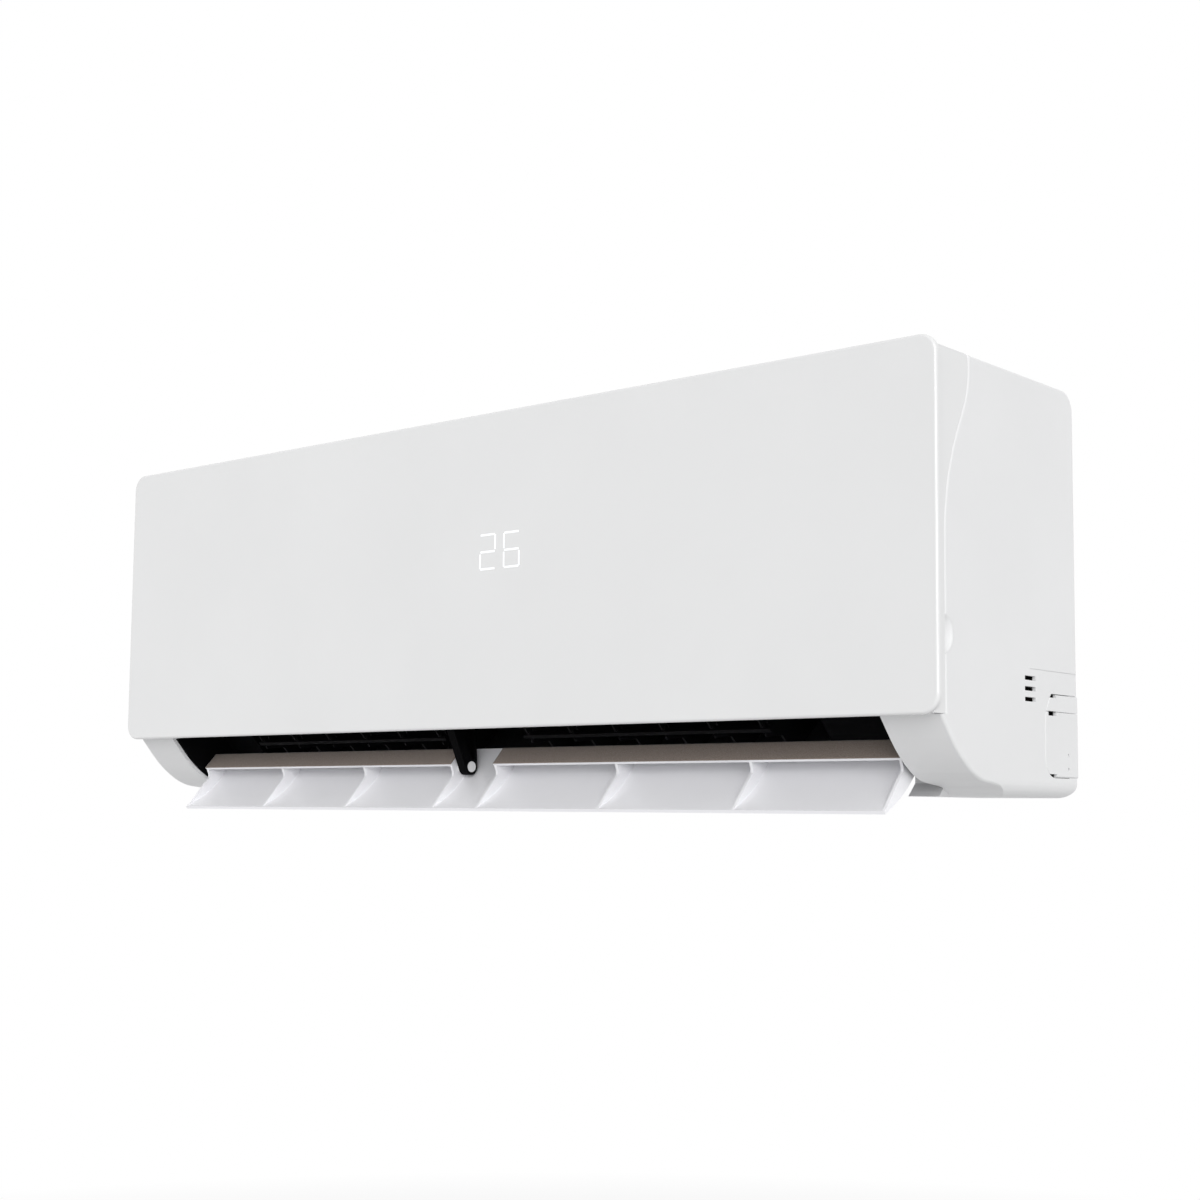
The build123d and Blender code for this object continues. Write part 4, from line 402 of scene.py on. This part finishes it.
def side_view(node):
    """Return the corners of a node's outline seen along X, as (Y, Z)."""
    points = [Vector((v.co.y, v.co.z)) for v in nodes[node].data.vertices]
    return [points[i] for i in convex_hull_2d(points)]


def make_fins(node):
    """Thin coated fins, some of them leaning a little, in place of a fin pack's block."""
    draw = random.Random(SEED)
    low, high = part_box(node)
    corners = side_view(node)
    middle = sum(corner.y for corner in corners) / len(corners)
    room = high.x - low.x - FIN_SHEET
    count = int(room / FIN_PITCH)
    start = low.x + (room - count * FIN_PITCH) / 2
    builder = bmesh.new()
    for i in range(count + 1):
        x = start + i * FIN_PITCH
        lean = max(0.0, draw.uniform(-FIN_LEAN, FIN_LEAN)) if 0 < i < count else 0.0
        outline = [(x + math.copysign(lean, c.y - middle), c.x, c.y) for c in corners]
        add_prism(builder, outline, Vector((FIN_SHEET, 0, 0)))
    new_piece(node + "_sheets", builder, "fin_aluminium", stands_for=(node,))


def make_filter_net(node):
    """Fine net across a filter's frame: upright strands, and level ones just behind them."""
    low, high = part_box(node)
    y = (low.y + high.y) / 2
    builder = bmesh.new()
    for axis, other, offset in ((0, 2, 0.0), (2, 0, NET_STRAND)):
        count = int((high[axis] - low[axis]) / NET_PITCH)
        shift = Vector((0, 0, 0))
        shift[other] = high[other] - low[other] - 2 * NET_MARGIN
        for i in range(1, count):
            centre = low[axis] + (high[axis] - low[axis]) * i / count
            outline = []
            for a, b in ((-1, -1), (1, -1), (1, 1), (-1, 1)):
                point = Vector((0, y + offset + b * NET_STRAND / 2, 0))
                point[axis] = centre + a * NET_STRAND / 2
                point[other] = low[other] + NET_MARGIN
                outline.append(point)
            add_prism(builder, outline, shift)
    new_piece(node + "_net", builder, "filter_plastic")


def felt_face():
    """Return the two ends of the felt's upper face in side view, and the way off that face."""
    corners = side_view("flock_strips")
    longest = max(range(4), key=lambda i: (corners[i] - corners[i - 1]).length)
    start, end = corners[longest - 1], corners[longest]
    across = corners[(longest + 1) % 4] - end
    if across.y > 0:
        start, end, across = start + across, end + across, -across
    return start, end, -across.normalized()


def felt_height(x, place, margin):
    """Return how far the napped face lies off the strip's top, always at or below it."""
    seat = min(1.0, margin / FELT_EDGE)
    tuft = abs(noise.noise(Vector((x, place.x, place.y)) * FELT_TUFTS_PER_METRE))
    return -FELT_NAP * (1 - seat) - FELT_NAP * tuft


def make_felt():
    """Flocked strips with a napped face, in place of the flap's plain strips."""
    start, end, off = felt_face()
    along = end - start
    low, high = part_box("flock_strips")
    parting = (low.x + high.x) / 2 - FELT_PARTING
    ends = [v.co.x for v in nodes["flock_strips"].data.vertices]
    rows = max(FELT_LEAST_ROWS, int(along.length / FELT_STEP))
    builder = bmesh.new()
    for strip in ([x for x in ends if x < parting], [x for x in ends if x > parting]):
        left, right = min(strip), max(strip)
        columns = int((right - left) / FELT_STEP)
        grid = []
        for i in range(columns + 1):
            x = left + (right - left) * i / columns
            line = []
            for j in range(rows + 1):
                place = start + along * j / rows
                inward = min((place - start).length, (end - place).length)
                lift = off * felt_height(x, place, min(x - left, right - x, inward))
                line.append(builder.verts.new((x, place.x + lift.x, place.y + lift.y)))
            grid.append(line)
        add_grid(builder, grid)
    piece = new_piece("felt_strips", builder, "felt", "flap", ("flock_strips",))
    thicken(piece, FELT_SHEET, 0.0)
    smooth(piece)


def make_back_ribs():
    """Thin stiffening ribs on the chassis back, in the fields beside and above the wall plate."""
    plate_low, plate_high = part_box("wall_plate")
    chassis_low, chassis_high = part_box("rear_chassis")
    back, front = plate_high.y - RIB_WALL_GAP, chassis_high.y - RIB_SEAT
    bottom, top = plate_low.z, chassis_high.z - RIB_MARGIN
    fields = (
        (chassis_low.x + RIB_MARGIN, plate_low.x - RIB_MARGIN, bottom, top),
        (plate_high.x + RIB_MARGIN, chassis_high.x - RIB_MARGIN, bottom, top),
        (plate_low.x, plate_high.x, plate_high.z + RIB_MARGIN, top),
    )
    builder = bmesh.new()
    for left, right, low, high in fields:
        columns = max(1, round((right - left) / RIB_PITCH))
        rows = max(1, round((high - low) / RIB_PITCH))
        for i in range(columns + 1):
            x = left + (right - left - RIB_WIDTH) * i / columns
            add_box(builder, (x, front, low), (x + RIB_WIDTH, back, high))
        for i in range(rows + 1):
            z = low + (high - low - RIB_WIDTH) * i / rows
            add_box(builder, (left, front, z), (right, back, z + RIB_WIDTH))
    new_piece("chassis_back_ribs", builder, "black_plastic", finish=chassis_black)


def screw_height(across, along):
    """Return the height of a cross-head screw's crown at a point of its face, for a radius of 1."""
    crown = SCREW_CROWN * (1 - (across ** 2 + along ** 2))
    narrow, far = sorted((abs(across), abs(along)))
    if narrow > CROSS_ARM or far > CROSS_REACH:
        return crown
    return crown - CROSS_SINK * (1 - far / CROSS_REACH) ** 0.5


def middle_and_half(values):
    """Return the middle of some values' range, and half its width."""
    low, high = min(values), max(values)
    return (low + high) / 2, (high - low) / 2


def make_screw_heads():
    """Crowned heads with a cross recess on the case screws."""
    vertices = [v.co for v in nodes["case_screws"].data.vertices]
    front = min(v.y for v in vertices)
    builder = bmesh.new()
    for screw in ([v for v in vertices if v.x < 0], [v for v in vertices if v.x > 0]):
        middle_x, radius = middle_and_half([v.x for v in screw])
        middle_z = middle_and_half([v.z for v in screw])[0]
        grid = []
        for i in range(SCREW_RINGS + 1):
            share = i / SCREW_RINGS
            line = []
            for j in range(SCREW_TURNS):
                turn = 2 * math.pi * j / SCREW_TURNS
                across, along = share * math.cos(turn), share * math.sin(turn)
                y = front - radius * screw_height(across, along)
                line.append(builder.verts.new((middle_x + radius * across, y, middle_z + radius * along)))
            grid.append(line + line[:1])
        add_grid(builder, grid)
    bmesh.ops.remove_doubles(builder, verts=builder.verts, dist=MERGE_DISTANCE)
    smooth(new_piece("case_screw_heads", builder, "bright_steel"))


def make_scoop(hand, side):
    """Smooth bowl behind the seam on one side, where a finger lifts the panel."""
    panel_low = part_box("front_panel")[0]
    case_half_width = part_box("front_frame")[1].x
    builder = bmesh.new()
    grid = []
    for i in range(SCOOP_RINGS + 1):
        share = i / SCOOP_RINGS
        x = side * (case_half_width - SCOOP_DEPTH * (1 - share ** 2) ** SCOOP_ROUNDNESS)
        line = []
        for j in range(SCOOP_TURNS + 1):
            turn = math.pi * (j / SCOOP_TURNS - 0.5)
            depth = SCOOP_CENTRE[0] + SCOOP_REACH[0] * share * math.cos(turn)
            height = SCOOP_CENTRE[1] + SCOOP_REACH[1] * share * math.sin(turn)
            line.append(builder.verts.new((x, panel_low.y + depth, panel_low.z + height)))
        grid.append(line)
    add_grid(builder, grid)
    bmesh.ops.remove_doubles(builder, verts=builder.verts, dist=MERGE_DISTANCE)
    piece = new_piece(hand + "_finger_scoop", builder, "case_plastic")
    thicken(piece, SCOOP_SHEET, -1.0)
    smooth(piece)
    # The bowl has to face outwards, so that its sheet thickens into the case.
    if side * sum(polygon.normal.x for polygon in piece.data.polygons) < 0:
        piece.data.flip_normals()


# ---- studio ----
def make_camera():
    """Camera fitted to the photograph."""
    yaw, pitch, roll = (math.radians(a) for a in (CAMERA_YAW, CAMERA_PITCH, CAMERA_ROLL))
    forward = Vector((-math.sin(yaw) * math.cos(pitch), math.cos(yaw) * math.cos(pitch), math.sin(pitch)))
    level = Vector((math.cos(yaw), math.sin(yaw), 0))
    upright = level.cross(forward)
    right = level * math.cos(roll) + upright * math.sin(roll)
    up = upright * math.cos(roll) - level * math.sin(roll)
    data = bpy.data.cameras.new("camera")
    data.sensor_width = SENSOR_WIDTH
    data.lens = FOCAL_PIXELS / IMAGE_WIDTH * SENSOR_WIDTH
    data.shift_x = (IMAGE_WIDTH / 2 - IMAGE_CENTRE[0]) / IMAGE_WIDTH
    data.shift_y = (IMAGE_CENTRE[1] - IMAGE_WIDTH / 2) / IMAGE_WIDTH
    camera = bpy.data.objects.new("camera", data)
    bpy.context.scene.collection.objects.link(camera)
    turn = Matrix((right, up, -forward)).transposed()
    camera.matrix_world = Matrix.Translation(CAMERA_PLACE) @ turn.to_4x4()
    bpy.context.scene.camera = camera


def background_share(tree):
    """Return 1 for the rays that should see a white background, else 0."""
    rays = tree.nodes.new("ShaderNodeLightPath")
    total = rays.outputs["Is Camera Ray"]
    for name in ("Is Glossy Ray", "Is Transmission Ray"):
        either = tree.nodes.new("ShaderNodeMath")
        either.operation = "MAXIMUM"
        tree.links.new(total, either.inputs[0])
        tree.links.new(rays.outputs[name], either.inputs[1])
        total = either.outputs[0]
    return total


def make_world():
    """White to the eye, and an even fill light."""
    world = bpy.data.worlds.new("studio")
    bpy.context.scene.world = world
    world.use_nodes = True
    tree = world.node_tree
    shown = tree.nodes["Background"]
    shown.inputs["Color"].default_value = (1, 1, 1, 1)
    fill = tree.nodes.new("ShaderNodeBackground")
    fill.inputs["Color"].default_value = (1, 1, 1, 1)
    fill.inputs["Strength"].default_value = FILL_STRENGTH
    mix = tree.nodes.new("ShaderNodeMixShader")
    tree.links.new(background_share(tree), mix.inputs[0])
    tree.links.new(fill.outputs[0], mix.inputs[1])
    tree.links.new(shown.outputs[0], mix.inputs[2])
    tree.links.new(mix.outputs[0], tree.nodes["World Output"].inputs["Surface"])


def floor_material():
    """Return a pale matt floor that fades to white far away, so no horizon shows."""
    finish = Finish("pale_floor", Roughness=0.9)
    links = finish.tree.links
    finish.paint(finish.noise(per_metre=3.0), shade(FLOOR_COLOUR, 0.99), FLOOR_COLOUR)
    far = finish.add("ShaderNodeVectorMath", {"operation": "LENGTH"})
    links.new(finish.place, far.inputs[0])
    fade = finish.spread(far.outputs["Value"], 0.0, 1.0, (FADE_START, FADE_END))
    share = finish.add("ShaderNodeMath", {"operation": "MULTIPLY"})
    links.new(fade, share.inputs[0])
    links.new(background_share(finish.tree), share.inputs[1])
    white = finish.add("ShaderNodeEmission")
    mix = finish.add("ShaderNodeMixShader", Fac=share.outputs[0])
    links.new(finish.shader.outputs[0], mix.inputs[1])
    links.new(white.outputs[0], mix.inputs[2])
    links.new(mix.outputs[0], finish.tree.nodes["Material Output"].inputs["Surface"])
    return finish.material


def make_floor():
    """Pale floor well below the unit, which hangs on a wall that isn't shown."""
    builder = bmesh.new()
    bmesh.ops.create_grid(builder, x_segments=FLOOR_CELLS, y_segments=FLOOR_CELLS, size=FLOOR_HALF)
    mesh = bpy.data.meshes.new("floor")
    builder.to_mesh(mesh)
    builder.free()
    mesh.materials.append(floor_material())
    floor = bpy.data.objects.new("floor", mesh)
    floor.location.z = FLOOR_HEIGHT
    bpy.context.scene.collection.objects.link(floor)


def make_key():
    """Very wide soft light from the front right, the same all along the object."""
    data = bpy.data.lights.new("key", "SUN")
    data.energy = KEY_STRENGTH
    data.angle = math.radians(KEY_SPREAD)
    lamp = bpy.data.objects.new("key", data)
    bpy.context.scene.collection.objects.link(lamp)
    turn, rise = math.radians(KEY_AZIMUTH), math.radians(KEY_ELEVATION)
    source = Vector((math.sin(turn) * math.cos(rise), -math.cos(turn) * math.cos(rise), math.sin(rise)))
    lamp.matrix_world = source.to_track_quat("Z", "Y").to_matrix().to_4x4()


dress_frame()
for pack in ("front_lower_fins", "front_upper_fins", "rear_fins"):
    make_fins(pack)
for air_filter in ("left_air_filter", "right_air_filter"):
    make_filter_net(air_filter)
make_felt()
make_back_ribs()
make_screw_heads()
make_scoop("right", 1)
make_scoop("left", -1)

make_camera()
make_world()
make_floor()
make_key()

bpy.context.scene.view_settings.view_transform = "Standard"

bpy.context.view_layer.update()
